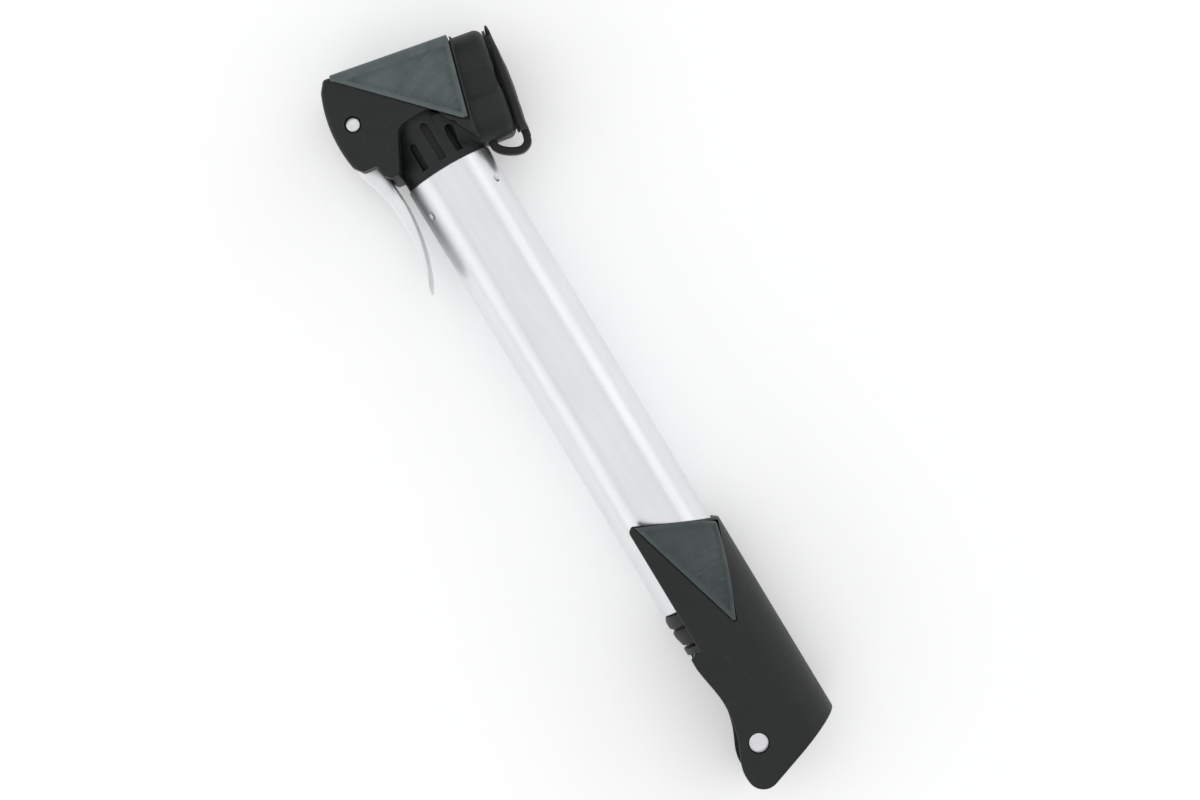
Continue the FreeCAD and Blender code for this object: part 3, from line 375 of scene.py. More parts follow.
def cast_silver():
    """Die-cast lever, tumbled and lacquered silver, with a soft orange-peel surface."""
    look = Look("lever_metal", (0.76, 0.77, 0.775), metal=0.85, rough=0.38)
    peel = look.noise(900.0, detail=3.0, rough=0.55)
    flakes = look.cells(5200.0)
    cloud = look.noise(70.0, detail=4.0, rough=0.6, warp=0.5)
    worn = look.edges(0.0006)
    base = look.blend(look.spread(cloud, 0.3, 0.7), (0.78, 0.79, 0.80), (0.86, 0.865, 0.87))
    colour = look.blend(look.maths("MULTIPLY", worn, 0.6), base, (0.94, 0.94, 0.94))
    rough = look.spread(cloud, 0.25, 0.75, 0.33, 0.45)
    fine = look.bump(flakes, 0.000015, strength=0.3, under=look.rounded_normal(0.0003))
    return look.finish(colour, look.bump(peel, 0.00003, strength=0.35, under=fine), rough)


def turned_steel(name, tint, rough_low, rough_high, ring_scale, axis):
    """Bright steel with turning or rolling marks and a breath of handling haze."""
    look = Look(name, tint, metal=1.0, rough=rough_low)
    marks = look.rings(ring_scale, axis)
    haze = look.noise(240.0, detail=4.0, rough=0.6, warp=0.7)
    along = look.stretched((0.05, 1.0, 1.0))
    scratches = look.noise(2600.0, detail=2.0, rough=0.7, place=along)
    dull = tuple(c * 0.86 for c in tint)
    colour = look.blend(look.spread(haze, 0.3, 0.75), tint, dull)
    rough = look.spread(haze, 0.25, 0.8, rough_low, rough_high)
    fine = look.bump(scratches, 0.000008, strength=0.4, under=look.rounded_normal(0.0002))
    return look.finish(colour, look.bump(marks, 0.000006, strength=0.4, under=fine), rough)


def acetal():
    """Off-white bearing plastic, slightly waxy, with turning marks."""
    look = Look("bush_plastic", (0.72, 0.70, 0.64), rough=0.42, spec=0.45)
    look.shader.inputs["Subsurface Weight"].default_value = 0.15
    look.shader.inputs["Subsurface Scale"].default_value = 0.001
    marks = look.rings(1800.0, "X")
    stain = look.noise(300.0, detail=4.0, rough=0.6, warp=0.6)
    colour = look.blend(look.spread(stain, 0.35, 0.75), (0.74, 0.72, 0.67), (0.60, 0.57, 0.50))
    rough = look.spread(stain, 0.3, 0.7, 0.36, 0.5)
    turned = look.bump(marks, 0.00001, strength=0.5, under=look.rounded_normal(0.0002))
    return look.finish(colour, turned, rough)


def paper():
    """The pale floor: a matt sheet with the faintest fibre, lit from below like a light table."""
    look = Look("floor_paper", (0.90, 0.90, 0.90), rough=0.92, spec=0.2)
    look.shader.inputs["Emission Color"].default_value = (1.0, 1.0, 1.0, 1.0)
    look.shader.inputs["Emission Strength"].default_value = 0.19
    fibre = look.noise(900.0, detail=4.0, rough=0.7)
    tone = look.noise(4.0, detail=2.0, rough=0.5)
    colour = look.blend(look.spread(tone, 0.3, 0.7), (0.925, 0.927, 0.93), (0.945, 0.945, 0.945))
    return look.finish(colour, look.bump(fibre, 0.00004, strength=0.12))


GRIP_TINT = (0.092, 0.115, 0.112)
MATERIALS = {
    "barrel_aluminium": satin_aluminium(),
    "head_plastic": moulded_black("head_plastic", (0.0105, 0.0118, 0.0120)),
    "handle_plastic": moulded_black("handle_plastic", (0.0100, 0.0112, 0.0114)),
    # The grip's broad lighter pad borders are partly a painted highlight, and its grooves take
    # strong painted shade.
    "grip_rubber": rubber("grip_rubber", GRIP_TINT, 2300.0, 0.00005, sheen=0.15, edge_wear_and_highlight=0.6,
                          groove_shade_strength=0.9, soft=0.0009, handle_end_share=0.62),
    "cap_rubber": rubber("cap_rubber", (0.014, 0.0148, 0.015), 3000.0, 0.00004, sheen=0.1),
    "seal_rubber": rubber("seal_rubber", (0.012, 0.012, 0.012), 4200.0, 0.00002),
    "lever_metal": cast_silver(),
    "pin_steel": turned_steel("pin_steel", (0.74, 0.74, 0.75), 0.16, 0.30, 2400.0, "Z"),
    "inner_plastic": moulded_black("inner_plastic", (0.030, 0.031, 0.033)),
    "bush_plastic": acetal(),
    "rod_metal": turned_steel("rod_metal", (0.78, 0.78, 0.79), 0.14, 0.28, 1600.0, "X"),
}
SLOT_OF = {part["node"]: part["material_slot"] for part in frame["record"]["subparts"]}


def finish_cad_nodes():
    """Gives every CAD node the material of its slot in the record."""
    for name, slot in SLOT_OF.items():
        node = frame["nodes"][name]
        node.data.materials.clear()
        node.data.materials.append(MATERIALS[slot])


# ---------------------------------------------------------------- mesh helpers

SAME_POINT = 1e-6                    # points nearer than this are one point
CRISP_ANGLE = math.radians(48)       # a sharper turn between faces is left crisp


def make_piece(name, points, faces, slot):
    """A smooth closed mesh from points and faces, with the finish of a material slot."""
    mesh = bpy.data.meshes.new(name)
    mesh.from_pydata([tuple(p) for p in points], [], faces)
    mesh.validate()
    mesh.update()
    piece = bpy.data.objects.new(name, mesh)
    bpy.context.scene.collection.objects.link(piece)
    mesh.materials.append(MATERIALS[slot])
    for face in mesh.polygons:
        face.use_smooth = True
    return outward(piece)


def shells(work):
    """The connected groups of faces of a bmesh."""
    waiting = set(work.faces)
    groups = []
    while waiting:
        group = [waiting.pop()]
        for face in group:
            for edge in face.edges:
                for other in edge.link_faces:
                    if other in waiting:
                        waiting.remove(other)
                        group.append(other)
        groups.append(group)
    return groups


def signed_volume(faces):
    """Six times the volume inside a closed shell: below 0 if its faces look inwards."""
    total = 0.0
    for face in faces:
        corners = [loop.vert.co for loop in face.loops]
        for second, third in zip(corners[1:], corners[2:]):
            total += corners[0].dot(second.cross(third))
    return total


def outward(piece):
    """Makes every face of a closed piece look outwards, and marks its crisp edges."""
    work = bmesh.new()
    work.from_mesh(piece.data)
    bmesh.ops.remove_doubles(work, verts=work.verts, dist=SAME_POINT)
    bmesh.ops.recalc_face_normals(work, faces=work.faces)
    for shell in shells(work):
        if signed_volume(shell) < 0:
            bmesh.ops.reverse_faces(work, faces=shell)
    work.to_mesh(piece.data)
    work.free()
    piece.data.set_sharp_from_angle(angle=CRISP_ANGLE)
    return piece


def skin(rings):
    """Points and faces that join closed rings of equal length, open at both ends."""
    points = [p for ring in rings for p in ring]
    count = len(rings[0])
    faces = []
    for i in range(len(rings) - 1):
        for j in range(count):
            a, b = i * count + j, i * count + (j + 1) % count
            faces.append((a, b, b + count, a + count))
    return points, faces


def loft(rings):
    """The skin over closed rings, with a face over each end."""
    points, faces = skin(rings)
    count = len(rings[0])
    faces.append(tuple(reversed(range(count))))
    faces.append(tuple(range(len(points) - count, len(points))))
    return points, faces


def hoop(rings):
    """The skin over closed rings, of which the last is joined to the first."""
    points, faces = skin(rings)
    count = len(rings[0])
    last = len(points) - count
    for j in range(count):
        k = (j + 1) % count
        faces.append((last + j, last + k, k, j))
    return points, faces


def joined(*meshes):
    """Points and faces of several meshes as one."""
    points, faces = [], []
    for more_points, more_faces in meshes:
        start = len(points)
        points += list(more_points)
        faces += [tuple(i + start for i in face) for face in more_faces]
    return points, faces


def stations(start, end, step_at, last_step=0.0):
    """Places from start up to end, spaced as step_at says; the last step is over last_step."""
    places = []
    place = start
    while place < end - last_step:
        places.append(place)
        place += step_at(place)
    return places + [end]


def smooth_step(value):
    """0 below 0, 1 above 1, and a soft S between."""
    value = min(1.0, max(0.0, value))
    return value * value * (3.0 - 2.0 * value)


# ---------------------------------------------------------------- rubber grip pads

PAD_BORDER = 0.95 * MM      # width of the raised border round a pad
PAD_SLOPE = 0.85 * MM       # width of the slope from the border down to the field
PAD_RISE = 0.62 * MM        # how far the border stands over the field
PAD_ROUND = 0.35 * MM       # rounding at the pad's outer edge
PAD_DEPTH = 1.0 * MM        # how deep the pad's wall goes into its seat
PAD_ROWS = 60
ROW_CLOSE, ROW_EVEN = 10, 46     # points of a row by each edge, and steps between them
RIB_HALF = 0.60 * MM        # half width of a curved rib in the field
RIB_RISE = 0.36 * MM


def pad_height(edge_gap, field_gap, ribs):
    """Height under the top plane, from the distances to the edge, the border and the next rib."""
    rim = PAD_ROUND - math.sqrt(max(0.0, PAD_ROUND**2 - max(0.0, PAD_ROUND - edge_gap) ** 2))
    inner_slope = smooth_step((field_gap - PAD_BORDER) / PAD_SLOPE)
    field = PAD_RISE * inner_slope
    swell = max(0.0, 1.0 - (ribs / RIB_HALF) ** 2) * RIB_RISE * inner_slope
    return -(rim + field - swell)


def row_between(start, end):
    """A row of points: close together by both its ends and even in between."""
    width = (end - start).length
    zone = min(PAD_BORDER + PAD_SLOPE, width * 0.45)
    close = [zone * (i / ROW_CLOSE) ** 1.4 for i in range(ROW_CLOSE)]
    inner = [zone + (width - 2 * zone) * i / ROW_EVEN for i in range(ROW_EVEN + 1)]
    places = close + inner + [width - c for c in reversed(close)]
    return [start.lerp(end, place / width) for place in places]


def triangle_rows(tip, left, right, tip_cut):
    """Rows from near a triangle's tip, a little of which is cut off, to its base."""
    rows = []
    for i in range(PAD_ROWS + 1):
        share = tip_cut + (1 - tip_cut) * (i / PAD_ROWS) ** 1.15
        rows.append(row_between(tip.lerp(left, share), tip.lerp(right, share)))
    return rows


def pad_piece(name, rows, gaps, rib_distance, to_space):
    """A pad over rows of flat points: a detailed top, a wall and a plain underside."""
    tops = [[to_space(p, pad_height(*gaps(p), rib_distance(p))) for p in row] for row in rows]
    bottoms = [[to_space(p, -PAD_DEPTH) for p in row] for row in rows]
    count, width = len(rows), len(rows[0])
    points = [p for row in tops for p in row] + [p for row in bottoms for p in row]
    under = count * width
    faces = []
    for i in range(count - 1):
        for j in range(width - 1):
            a = i * width + j
            faces.append((a, a + 1, a + width + 1, a + width))
            faces.append((under + a + width, under + a + width + 1, under + a + 1, under + a))
    rim = list(range(width))
    rim += [i * width + width - 1 for i in range(1, count)]
    rim += [(count - 1) * width + j for j in range(width - 2, -1, -1)]
    rim += [i * width for i in range(count - 2, 0, -1)]
    for a, b in zip(rim, rim[1:] + rim[:1]):
        faces.append((a, under + a, under + b, b))
    return make_piece(name, points, faces, "grip_rubber")


def line_gap(point, start, end):
    """Signed distance of a flat point to the left of the line from start to end."""
    along = (end - start).normalized()
    off = point - start
    return along.x * off.y - along.y * off.x


def nose_gap(point, tip, base, tip_cut):
    """Distance to the straight cut across a triangle's tip; base is its base's middle."""
    return (tip.lerp(base, tip_cut) - point).dot((tip - base).normalized())


def arc_gap(point, tip, base, beyond, radii):
    """Distance to the nearest of some arcs, whose centre is beyond the triangle's tip."""
    centre = tip + (tip - base) * beyond
    far = (point - centre).length
    return min(abs(far - radius * MM) for radius in radii)


# The head's pad: a triangle on each cheek, joined over the head's top edge. Flat points are
# (along the top edge, down the cheek); the sheet folds over the edge on a small radius.
HEAD_TOP = Vector((-37.8, -16.5)) * MM       # the outer top plane's lever-side end
HEAD_ALONG = Vector((7.5, 36.2)).normalized()
HEAD_DOWN = Vector((HEAD_ALONG.y, -HEAD_ALONG.x))
HEAD_FOLD = 2.4 * MM                         # radius of the fold over the top's long edge
HEAD_PLANE = 15.0 * MM                       # the cheek's plane
HEAD_STRAIGHT = HEAD_PLANE - HEAD_FOLD       # on the sheet: from its middle to the fold
HEAD_FOLD_END = HEAD_STRAIGHT + HEAD_FOLD * math.pi / 2
HEAD_CORNERS = [Vector((-35.8, -14.85)), Vector((-29.95, 18.5)), Vector((-7.4, 11.9))]
HEAD_TIP_CUT = 0.045                         # share of the triangle's length
HEAD_SADDLE_ROWS = 34                        # over the head's top, from cheek to cheek
HEAD_ARCS = (13.5, 18.0, 22.5, 27.0)         # the ribs' radii, in millimetres
HEAD_ARCS_BEYOND = 0.25                      # how far past the tip their centre is, as a share


def head_flat(corner):
    """(along, down) of a point in the cheek's plane, down counted from the sheet's middle."""
    off = corner * MM - HEAD_TOP
    return Vector((off.dot(HEAD_ALONG), off.dot(HEAD_DOWN) - HEAD_FOLD + HEAD_FOLD_END))


def head_space(flat, height):
    """From the flat sheet to space; the sheet's second half is the back cheek's."""
    side = 1.0 if flat.y >= 0 else -1.0
    run = abs(flat.y)
    if run <= HEAD_STRAIGHT:
        down, z = -height, run
    elif run < HEAD_FOLD_END:
        lean = (run - HEAD_STRAIGHT) / HEAD_FOLD
        reach = HEAD_FOLD + height
        down, z = HEAD_FOLD - reach * math.cos(lean), HEAD_STRAIGHT + reach * math.sin(lean)
    else:
        down, z = HEAD_FOLD + run - HEAD_FOLD_END, HEAD_PLANE + height
    ground = HEAD_TOP + HEAD_ALONG * flat.x + HEAD_DOWN * down
    return Vector((ground.x, ground.y, side * z))


def make_head_pad():
    """One sheet: the front cheek's triangle, the saddle over the top, the back cheek's triangle."""
    left, right, tip = (head_flat(c) for c in HEAD_CORNERS)
    base = (left + right) / 2
    front = triangle_rows(tip, left, right, HEAD_TIP_CUT)
    saddle = []
    # Over the top both sides run straight across, from the front cheek to the back one.
    for i in range(1, HEAD_SADDLE_ROWS):
        share = i / HEAD_SADDLE_ROWS
        start = left.lerp(Vector((left.x, -left.y)), share)
        end = right.lerp(Vector((right.x, -right.y)), share)
        saddle.append(row_between(start, end))
    back = [[Vector((p.x, -p.y)) for p in row] for row in reversed(front)]

    def gaps(point):
        """To the pad's edge, and to the nearest of that edge and the fold over the head's top."""
        flat = Vector((point.x, abs(point.y)))
        if flat.y < base.y:
            sides = [flat.x - left.x, right.x - flat.x]
        else:
            sides = [line_gap(flat, right, tip), line_gap(flat, tip, left)]
        nose = nose_gap(flat, tip, base, HEAD_TIP_CUT)
        edge = max(0.0, min([abs(gap) for gap in sides] + [nose]))
        fold = max(flat.y - HEAD_FOLD_END, HEAD_STRAIGHT - flat.y)
        return edge, min(edge, fold + PAD_BORDER * 0.6)

    def rib(point):
        return arc_gap(Vector((point.x, abs(point.y))), tip, base, HEAD_ARCS_BEYOND, HEAD_ARCS)

    pad = pad_piece("head_grip_pad", front + saddle + back, gaps, rib, head_space)
    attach(pad, "pump_body")
    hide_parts("head_grip_insert")


# The handle's two pads follow its section: flat sides, and a round back of this radius.
HANDLE_SKIN = 15.0 * MM
HANDLE_CORNERS = [Vector((110.95, -6.9)), Vector((121.25, 13.35)), Vector((147.2, 3.6))]
HANDLE_TIP_CUT = 0.03
HANDLE_ARCS = (17.0, 21.5, 26.0, 30.5)
HANDLE_ARCS_BEYOND = 0.3


def handle_space(side):
    """How a flat point and a height go to space on the front (1) or back (-1) cheek."""

    def place(flat, height):
        radius = HANDLE_SKIN + height
        if flat.y <= 0:
            return Vector((flat.x, flat.y, side * radius))
        turn = flat.y / HANDLE_SKIN
        return Vector((flat.x, radius * math.sin(turn), side * radius * math.cos(turn)))

    return place


def handle_flat(corner):
    """A corner on the flat sheet, which is unrolled where the section is round."""
    x, y = corner.x * MM, corner.y * MM
    return Vector((x, y if y <= 0 else HANDLE_SKIN * math.asin(y / HANDLE_SKIN)))


def make_handle_pads():
    """A triangle in each cheek, which follows the round back at its upper corner."""
    low, high, tip = (handle_flat(c) for c in HANDLE_CORNERS)
    base = (low + high) / 2
    rows = triangle_rows(tip, low, high, HANDLE_TIP_CUT)

    def gaps(point):
        sides = [abs(line_gap(point, a, b)) for a, b in ((low, high), (high, tip), (tip, low))]
        edge = max(0.0, min(sides + [nose_gap(point, tip, base, HANDLE_TIP_CUT)]))
        return edge, edge

    def rib(point):
        return arc_gap(point, tip, base, HANDLE_ARCS_BEYOND, HANDLE_ARCS)

    for name, side in (("front", 1.0), ("back", -1.0)):
        pad = pad_piece(f"handle_grip_pad_{name}", rows, gaps, rib, handle_space(side))
        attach(pad, "handle")
        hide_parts(f"handle_insert_{name}")


# ---------------------------------------------------------------- dust cap and its strap

joint_of = {joint["name"]: joint for joint in frame["record"]["behaviour"]["joints"]}
mount_of = {mount["name"]: mount for mount in frame["record"]["mounts"]}
VALVE_AXIS = Vector(mount_of["wide_valve_port"]["axis"]).normalized()
TO_TOP = Vector((-VALVE_AXIS.y, VALVE_AXIS.x, 0.0))


def port_space(out, up, z):
    """From the port frame, in millimetres: out along the valve axis, up towards the head's top."""
    return (VALVE_AXIS * out + TO_TOP * up) * MM + Vector((0, 0, z * MM))


def between(table, where):
    """Smooth value at a place in a table of (place, value), flat past its ends."""
    if where <= table[0][0]:
        return table[0][1]
    for (a, low), (b, high) in zip(table, table[1:]):
        if where <= b:
            return low + (high - low) * smooth_step((where - a) / (b - a))
    return table[-1][1]


def straight_between(table, where):
    """As between, but on straight lines."""
    for (a, low), (b, high) in zip(table, table[1:]):
        if where <= b:
            return low + (high - low) * max(0.0, (where - a) / (b - a))
    return table[-1][1]


# The cover, in millimetres in the port frame. It runs from its root up to the tip of its tab.
CAP_ROOT, CAP_TIP = 1.5, 34.15
CAP_ROOT_HALF, CAP_HALF, CAP_TAB_HALF = 3.0, 9.0, 3.0     # half widths
CAP_SHOULDER = (3.0, 9.5)        # here the root widens to the full width
CAP_ARCH = (21.5, 31.6)          # here the round end closes in
CAP_TAB_END = (33.0, 1.25)       # where the tab's round tip starts, and its length
CAP_CROWN = 0.9                  # how far the outer face's middle stands over its sides
CAP_EDGE = 0.75                  # rounding of the long sides
CAP_ACROSS, CAP_TURN = 52, 6     # steps across a face and round a side
CAP_PLAIN, CAP_PLAIN_STEP, CAP_FINE_STEP = (9.5, 28.0), 0.33, 0.25    # steps along it
# The faces' distance out along the valve axis, by place up.
CAP_INNER = [(1.5, 22.72), (4.0, 22.62), (6.0, 22.35), (30.0, 22.35), (33.0, 22.75), (34.2, 23.1)]
CAP_OUTER = [(1.5, 24.95), (5.0, 25.0), (9.0, 25.38), (16.0, 25.5), (21.0, 25.38), (26.0, 25.0),
             (30.0, 24.4), (33.4, 23.85), (34.2, 23.6)]
# The outer face's field lies inside an oblong rim, with a dish over each port.
FIELD_ENDS, FIELD_RADIUS, FIELD_DEPTH = (10.8, 25.4), 7.1, 0.30
DISHES, DISH_DEPTH = ((10.8, 3.4), (25.4, 4.3)), 0.34
TAB_GROOVES, GROOVE_PITCH, GROOVE_HALF, GROOVE_DEPTH = 31.9, 0.75, 0.3, 0.12
# A lip round both ports, as (out, radius), and a plug for each port.
LIP_RINGS = ((22.5, 7.6), (21.91, 7.6), (21.76, 7.45), (21.76, 6.95), (21.91, 6.8), (22.5, 6.8))
WIDE_PLUG, NARROW_PLUG = (3.4, 2.4), (2.4, 1.5)           # radius at the foot and at the end


def cap_half_width(up):
    """Half the cover's width: root, shoulder, body, round end and the tab beyond it."""
    shoulder, full = CAP_SHOULDER
    if up < shoulder:
        return CAP_ROOT_HALF
    if up < full:
        swell = math.sqrt(1 - ((full - up) / (full - shoulder)) ** 2)
        return CAP_ROOT_HALF + (CAP_HALF - CAP_ROOT_HALF) * swell
    arch_start, arch_end = CAP_ARCH
    if up < arch_start:
        return CAP_HALF
    tab_end, tab_round = CAP_TAB_END
    if up < tab_end:
        arch = max(0.0, 1 - ((up - arch_start) / (arch_end - arch_start)) ** 2)
        return max(CAP_TAB_HALF, CAP_HALF * math.sqrt(arch))
    return CAP_TAB_HALF * math.sqrt(max(0.04, 1 - ((up - tab_end) / tab_round) ** 2))


def cap_ring(up):
    """One closed section across the cap: flat inside, crowned outside, round edges."""
    half = cap_half_width(up)
    inner, outer = straight_between(CAP_INNER, up), straight_between(CAP_OUTER, up)
    crown = CAP_CROWN * (half / CAP_HALF) ** 2
    edge = min(CAP_EDGE, half * 0.4)
    flat = half - edge
    side = outer - crown
    middle, rise = (inner + side) / 2, (side - inner) / 2
    turns = [math.pi * i / CAP_TURN - math.pi / 2 for i in range(CAP_TURN)]
    ring = [(inner, flat * (2 * i / CAP_ACROSS - 1)) for i in range(CAP_ACROSS)]
    ring += [(middle + rise * math.sin(a), flat + edge * math.cos(a)) for a in turns]
    for i in range(CAP_ACROSS):
        across = 1 - 2 * i / CAP_ACROSS
        ring.append((outer - crown * across**2 - cap_sink(up, across * half), flat * across))
    ring += [(middle - rise * math.sin(a), -flat - edge * math.cos(a)) for a in turns]
    return [port_space(out, up, z) for out, z in ring]


def cap_sink(up, across):
    """How far the outer face sinks: a field, a dish over each port, and grooves across the tab."""
    along = up - min(max(up, FIELD_ENDS[0]), FIELD_ENDS[1])
    sink = FIELD_DEPTH * smooth_step((FIELD_RADIUS - math.hypot(along, across)) / 0.5)
    for middle, radius in DISHES:
        sink += DISH_DEPTH * smooth_step((radius - math.hypot(up - middle, across)) / 0.45)
    if up > TAB_GROOVES:
        off = (up - TAB_GROOVES) % GROOVE_PITCH - GROOVE_PITCH / 2
        sink += GROOVE_DEPTH * max(0.0, 1.0 - (off / GROOVE_HALF) ** 2)
    return sink


def plug(centre_up, foot, nose, count=32):
    """A turned plug on a port's axis, which tapers from its foot to a rounded end."""
    sections = [
        (22.6, foot),
        (22.3, foot),
        (21.0, nose + 0.45),
        (20.55, nose + 0.3),
        (20.37, nose),
        (20.35, nose * 0.6),
    ]
    turns = [2 * math.pi * i / count for i in range(count)]
    return loft([[port_space(out, centre_up + radius * math.cos(a), radius * math.sin(a))
                  for a in turns] for out, radius in sections])


def oblong_ring(out, radius, low_up, high_up, count=24):
    """A ring round both ports: two half circles joined by straight sides."""
    ring = []
    for centre_up, start in ((high_up, 0.0), (low_up, math.pi)):
        for i in range(count + 1):
            angle = start + math.pi * i / count
            up = centre_up + radius * math.sin(angle)
            ring.append(port_space(out, up, radius * math.cos(angle)))
    return ring


def make_dust_cap():
    """The cover that lies over both ports, with its plugs, its lip and the tab it is pulled by."""

    def step_at(up):
        return CAP_PLAIN_STEP if CAP_PLAIN[0] <= up <= CAP_PLAIN[1] else CAP_FINE_STEP

    cover = loft([cap_ring(up) for up in stations(CAP_ROOT, CAP_TIP, step_at)])
    wide_up = TO_TOP.dot(Vector(mount_of["wide_valve_port"]["pos_m"])) / MM
    narrow_up = TO_TOP.dot(Vector(mount_of["narrow_valve_port"]["pos_m"])) / MM
    plugs = [plug(wide_up, *WIDE_PLUG), plug(narrow_up, *NARROW_PLUG)]
    lip = hoop([oblong_ring(out, radius, narrow_up, wide_up) for out, radius in LIP_RINGS])
    points, faces = joined(cover, *plugs, lip)
    cap = make_piece("rubber_dust_cap", points, faces, "cap_rubber")
    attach(cap, "dust_cap")
    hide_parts("dust_cap")


def spline_points(knots, steps):
    """Points along a smooth curve through the knots."""
    ends = [knots[0] * 2 - knots[1]] + list(knots) + [knots[-1] * 2 - knots[-2]]
    line = []
    for i in range(1, len(ends) - 2):
        a, b, c, d = ends[i - 1:i + 3]
        first, second = b + (c - a) / 6, c - (d - b) / 6
        line += interpolate_bezier(b, first, second, c, steps + 1)[:-1]
    return line + [knots[-1]]


def band_ring(centre, along, half_wide, half_thick, corner):
    """A rounded rectangle across a band whose width is along Z."""
    side = Vector((-along.y, along.x, 0.0))
    ring = []
    for quarter, (sx, sz) in enumerate(((1, 1), (-1, 1), (-1, -1), (1, -1))):
        for i in range(5):
            angle = math.pi / 2 * (quarter + i / 4)
            off = sx * (half_thick - corner) + corner * math.cos(angle)
            z = sz * (half_wide - corner) + corner * math.sin(angle)
            ring.append(centre + side * off + Vector((0, 0, z)))
    return ring


# The strap's line, in millimetres from its hinge, from the cover round to the head.
STRAP_KNOTS = ((-1.4, 0.25), (0.4, -0.12), (2.6, -0.95), (3.55, -2.7), (3.3, -4.6), (1.8, -7.2),
               (-0.3, -9.1), (-2.4, -9.35))
# Half width and half thickness along it, in millimetres.
STRAP_HALF = [(0.0, 2.9), (0.25, 2.3), (0.8, 2.3), (1.0, 2.7)]
STRAP_THICK = [(0.0, 1.0), (0.2, 1.08), (0.5, 1.02), (0.85, 1.1), (1.0, 1.2)]
STRAP_CORNER = 0.55 * MM
STRAP_STEPS = 9                  # points of the line from each knot to the next


def make_strap():
    """The strap that ties the cover to the head, and bends between them."""
    hinge = Vector(joint_of["dust_cap_fold"]["pos_m"])
    line = spline_points([hinge + Vector((x, y, 0)) * MM for x, y in STRAP_KNOTS], STRAP_STEPS)
    rings = []
    for i, point in enumerate(line):
        ahead, behind = line[min(i + 1, len(line) - 1)], line[max(i - 1, 0)]
        share = i / (len(line) - 1)
        wide, thick = between(STRAP_HALF, share) * MM, between(STRAP_THICK, share) * MM
        rings.append(band_ring(point, (ahead - behind).normalized(), wide, thick, STRAP_CORNER))
    points, faces = loft(rings)
    strap = make_piece("rubber_cap_strap", points, faces, "cap_rubber")
    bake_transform(strap)
    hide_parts("dust_cap_strap")


# ---------------------------------------------------------------- lever

LEVER_PIN = Vector(joint_of["lever_swing"]["pos_m"])
LEVER_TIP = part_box("lever")[1].x
CAM_RADIUS = 5.0 * MM
CAM_OFFSET = Vector((-0.305, -1.570, 0.0)) * MM   # the cam's centre, seen from the pin
CAM_HALF = 7.6 * MM             # half its width
CAM_EDGE = 0.45 * MM
CAM_STEPS = 56
PIN_BORE = 1.56 * MM

# The blade, in millimetres: (x, y) of three points on each face's arc.
INNER_ARC = ((-9.4, -15.8), (7.0, -15.1), (26.4, -20.9))
OUTER_ARC = ((27.0, -22.0), (6.0, -18.3), (-10.0, -21.6))
ROOT_INNER = [(-20.6, -18.9), (-17.0, -15.8)]     # Y of the root's inner face, by x
ROOT_SLOPE = 0.059                                # of the root's outer face
BLADE_HALF = [(-17.0, 7.5), (-15.0, 7.6), (-5.0, 7.6), (1.5, 8.35), (12.0, 8.35), (22.0, 7.6)]
BLADE_END, END_CORNER = 27.2, 6.0                 # where the tip ends, and its corners' radius
TIP_THINS = 26.2                                  # from here on the tip is rounded off
BLADE_CROWN = 0.18                                # the outer face's middle over its sides
BLADE_EDGE = 0.85                                 # rounding of the long sides
BLADE_ACROSS, BLADE_TURN = 40, 6                  # steps across a face and round a side
ROOT_STEP, PADDLE_STEP, TIP_STEP = 0.6, 0.28, 0.12     # steps along it
TIP_LENGTH, LAST_STEP = 1.6, 0.1
TIP_MARGIN = 0.02                                 # the blade ends this far inside the CAD lever
DISH_SINK = 0.42                                  # the thumb dish's depth
RIB_PLACES, RIB_WIDTH, RIB_STANDS = (13.6, 16.4, 19.2, 22.0), 0.62, 0.40


def arc_y(x, first, middle, last):
    """Y at x on the circle through three points, on the side where the middle point is."""
    (ax, ay), (bx, by), (cx, cy) = first, middle, last
    d = 2 * (ax * (by - cy) + bx * (cy - ay) + cx * (ay - by))
    a2, b2, c2 = ax * ax + ay * ay, bx * bx + by * by, cx * cx + cy * cy
    ux = (a2 * (by - cy) + b2 * (cy - ay) + c2 * (ay - by)) / d
    uy = (a2 * (cx - bx) + b2 * (ax - cx) + c2 * (bx - ax)) / d
    radius = math.hypot(ax - ux, ay - uy)
    rise = math.sqrt(max(0.0, radius**2 - (x - ux) ** 2))
    return uy + math.copysign(rise, by - uy)


def lever_faces(x):
    """Y of the blade's inner and outer faces, in millimetres, at a place along the barrel."""
    if x < INNER_ARC[0][0]:
        # The root drops below the pin's bore and meets the hub from underneath.
        inner = between(ROOT_INNER, x)
    else:
        inner = arc_y(x, *INNER_ARC)
    root_x, root_y = OUTER_ARC[2]
    if x < root_x:
        outer = root_y + (x - root_x) * ROOT_SLOPE
    else:
        outer = arc_y(x, *OUTER_ARC)
    return inner, outer


def lever_half_width(x):
    """Half the blade's width in millimetres, round-cornered at the tip."""
    half = between(BLADE_HALF, x)
    into = x - (BLADE_END - END_CORNER)
    if into > 0:
        half -= END_CORNER - math.sqrt(max(0.0, END_CORNER**2 - min(into, END_CORNER) ** 2))
    return max(half, 1.2)


def lever_relief(x, share):
    """How far the outer face sinks: a thumb dish with cross ribs towards the tip."""
    along = smooth_step((x - 1.0) / 3.0) * smooth_step((25.6 - x) / 1.6)
    across = smooth_step((0.86 - abs(share)) / 0.12)
    off = min(abs(x - place) for place in RIB_PLACES)
    rib = RIB_STANDS * max(0.0, 1.0 - (off / RIB_WIDTH) ** 2)
    return (DISH_SINK - rib) * along * across


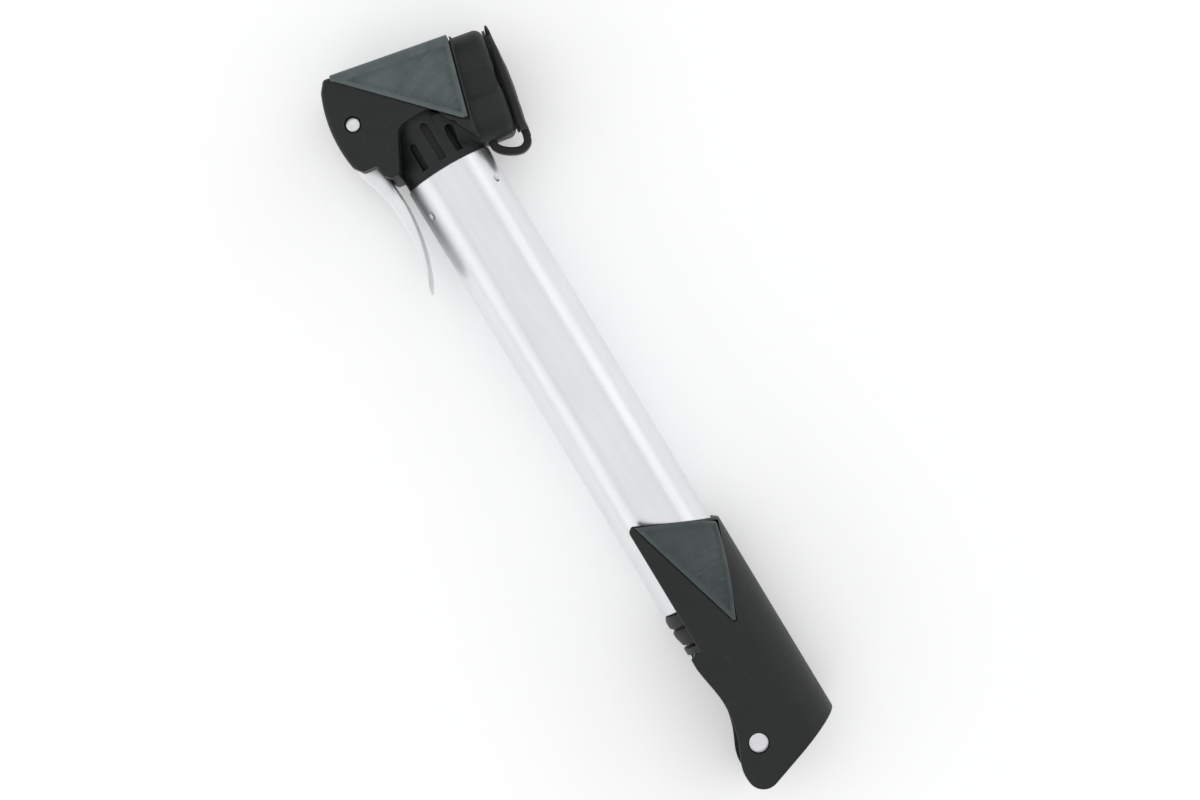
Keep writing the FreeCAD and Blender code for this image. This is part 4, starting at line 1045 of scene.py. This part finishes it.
def lever_ring(x):
    """One closed section across the blade: each face, then the round side that follows it."""
    inner, outer = lever_faces(x)
    half = lever_half_width(x)
    middle, thick = (inner + outer) / 2, (inner - outer) / 2
    thick *= math.sqrt(max(0.02, 1 - max(0.0, x - TIP_THINS) ** 2))
    corner = min(BLADE_EDGE, thick * 0.96, half * 0.5)
    outline = []
    for side in (1, -1):
        is_outer = side < 0
        for i in range(BLADE_ACROSS):
            share = side * (1 - 2 * i / BLADE_ACROSS)
            sink = lever_relief(x, share) + BLADE_CROWN * share**2 if is_outer else 0.0
            outline.append((middle + side * (thick - sink), share * (half - corner)))
        for i in range(BLADE_TURN):
            angle = math.pi * i / BLADE_TURN
            flat = thick - corner if i < BLADE_TURN / 2 else corner - thick
            y = side * (flat + corner * math.cos(angle))
            if y < 0:
                y += BLADE_CROWN * (1 - i / BLADE_TURN if is_outer else i / BLADE_TURN)
            outline.append((middle + y, -side * (half - corner + corner * math.sin(angle))))
    return [Vector((x, y, z)) * MM for y, z in outline]


def cam_mesh():
    """The lever's round hub, whose bore for the pin sits off its centre."""
    # Radius, whether the ring is round the cam's centre (1) or the pin's (0), and Z.
    sections = [
        (PIN_BORE, 0.0, -CAM_HALF),
        (CAM_RADIUS - CAM_EDGE, 1.0, -CAM_HALF),
        (CAM_RADIUS - CAM_EDGE * 0.3, 1.0, -CAM_HALF + CAM_EDGE * 0.3),
        (CAM_RADIUS, 1.0, -CAM_HALF + CAM_EDGE),
    ]
    sections += [(radius, off, -z) for radius, off, z in reversed(sections)]
    turns = [2 * math.pi * i / CAM_STEPS for i in range(CAM_STEPS)]
    rings = []
    for radius, off, z in sections:
        centre = LEVER_PIN + CAM_OFFSET * off + Vector((0, 0, z))
        rings.append([centre + Vector((math.cos(a), math.sin(a), 0)) * radius for a in turns])
    return hoop(rings)


def make_lever():
    """The lever: a curved blade with a thumb dish, on its eccentric hub."""
    root, end = (LEVER_PIN + CAM_OFFSET).x / MM, LEVER_TIP / MM - TIP_MARGIN

    def step_at(x):
        if x < 0:
            return ROOT_STEP
        return PADDLE_STEP if x < end - TIP_LENGTH else TIP_STEP

    blade = loft([lever_ring(x) for x in stations(root, end, step_at, LAST_STEP)])
    points, faces = joined(blade, cam_mesh())
    lever = make_piece("release_lever", points, faces, "lever_metal")
    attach(lever, "lever")
    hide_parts("lever")


# ---------------------------------------------------------------- non-return valve's spring

WIRE, COIL = 0.25 * MM, 2.1 * MM     # radius of the wire, and of the helix its middle follows
COIL_TURNS = 4.9
COIL_STEPS, WIRE_STEPS = 150, 12


def make_valve_spring():
    """A wire helix as long as the CAD spring; in the valve the ball presses it shorter as it opens.
    """
    low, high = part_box("check_valve_spring")
    start, length = low.x + WIRE, high.x - low.x - 2 * WIRE
    along = Vector((1, 0, 0))
    turns = [2 * math.pi * i / WIRE_STEPS for i in range(WIRE_STEPS)]
    rings = []
    for i in range(COIL_STEPS + 1):
        share = i / COIL_STEPS
        turn = 2 * math.pi * COIL_TURNS * share
        out = Vector((0, math.cos(turn), math.sin(turn)))
        centre = along * (start + length * share) + out * COIL
        rings.append([centre + (out * math.cos(a) + along * math.sin(a)) * WIRE for a in turns])
    points, faces = loft(rings)
    spring = make_piece("valve_spring", points, faces, SLOT_OF["check_valve_spring"])
    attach(spring, "pump_body")
    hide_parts("check_valve_spring")
    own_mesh(spring)


# ---------------------------------------------------------------- the scene

bpy.context.scene.view_settings.view_transform = "Standard"
make_camera()
make_light()
make_floor()
finish_cad_nodes()
make_head_pad()
make_handle_pads()
make_dust_cap()
make_strap()
make_lever()
make_valve_spring()
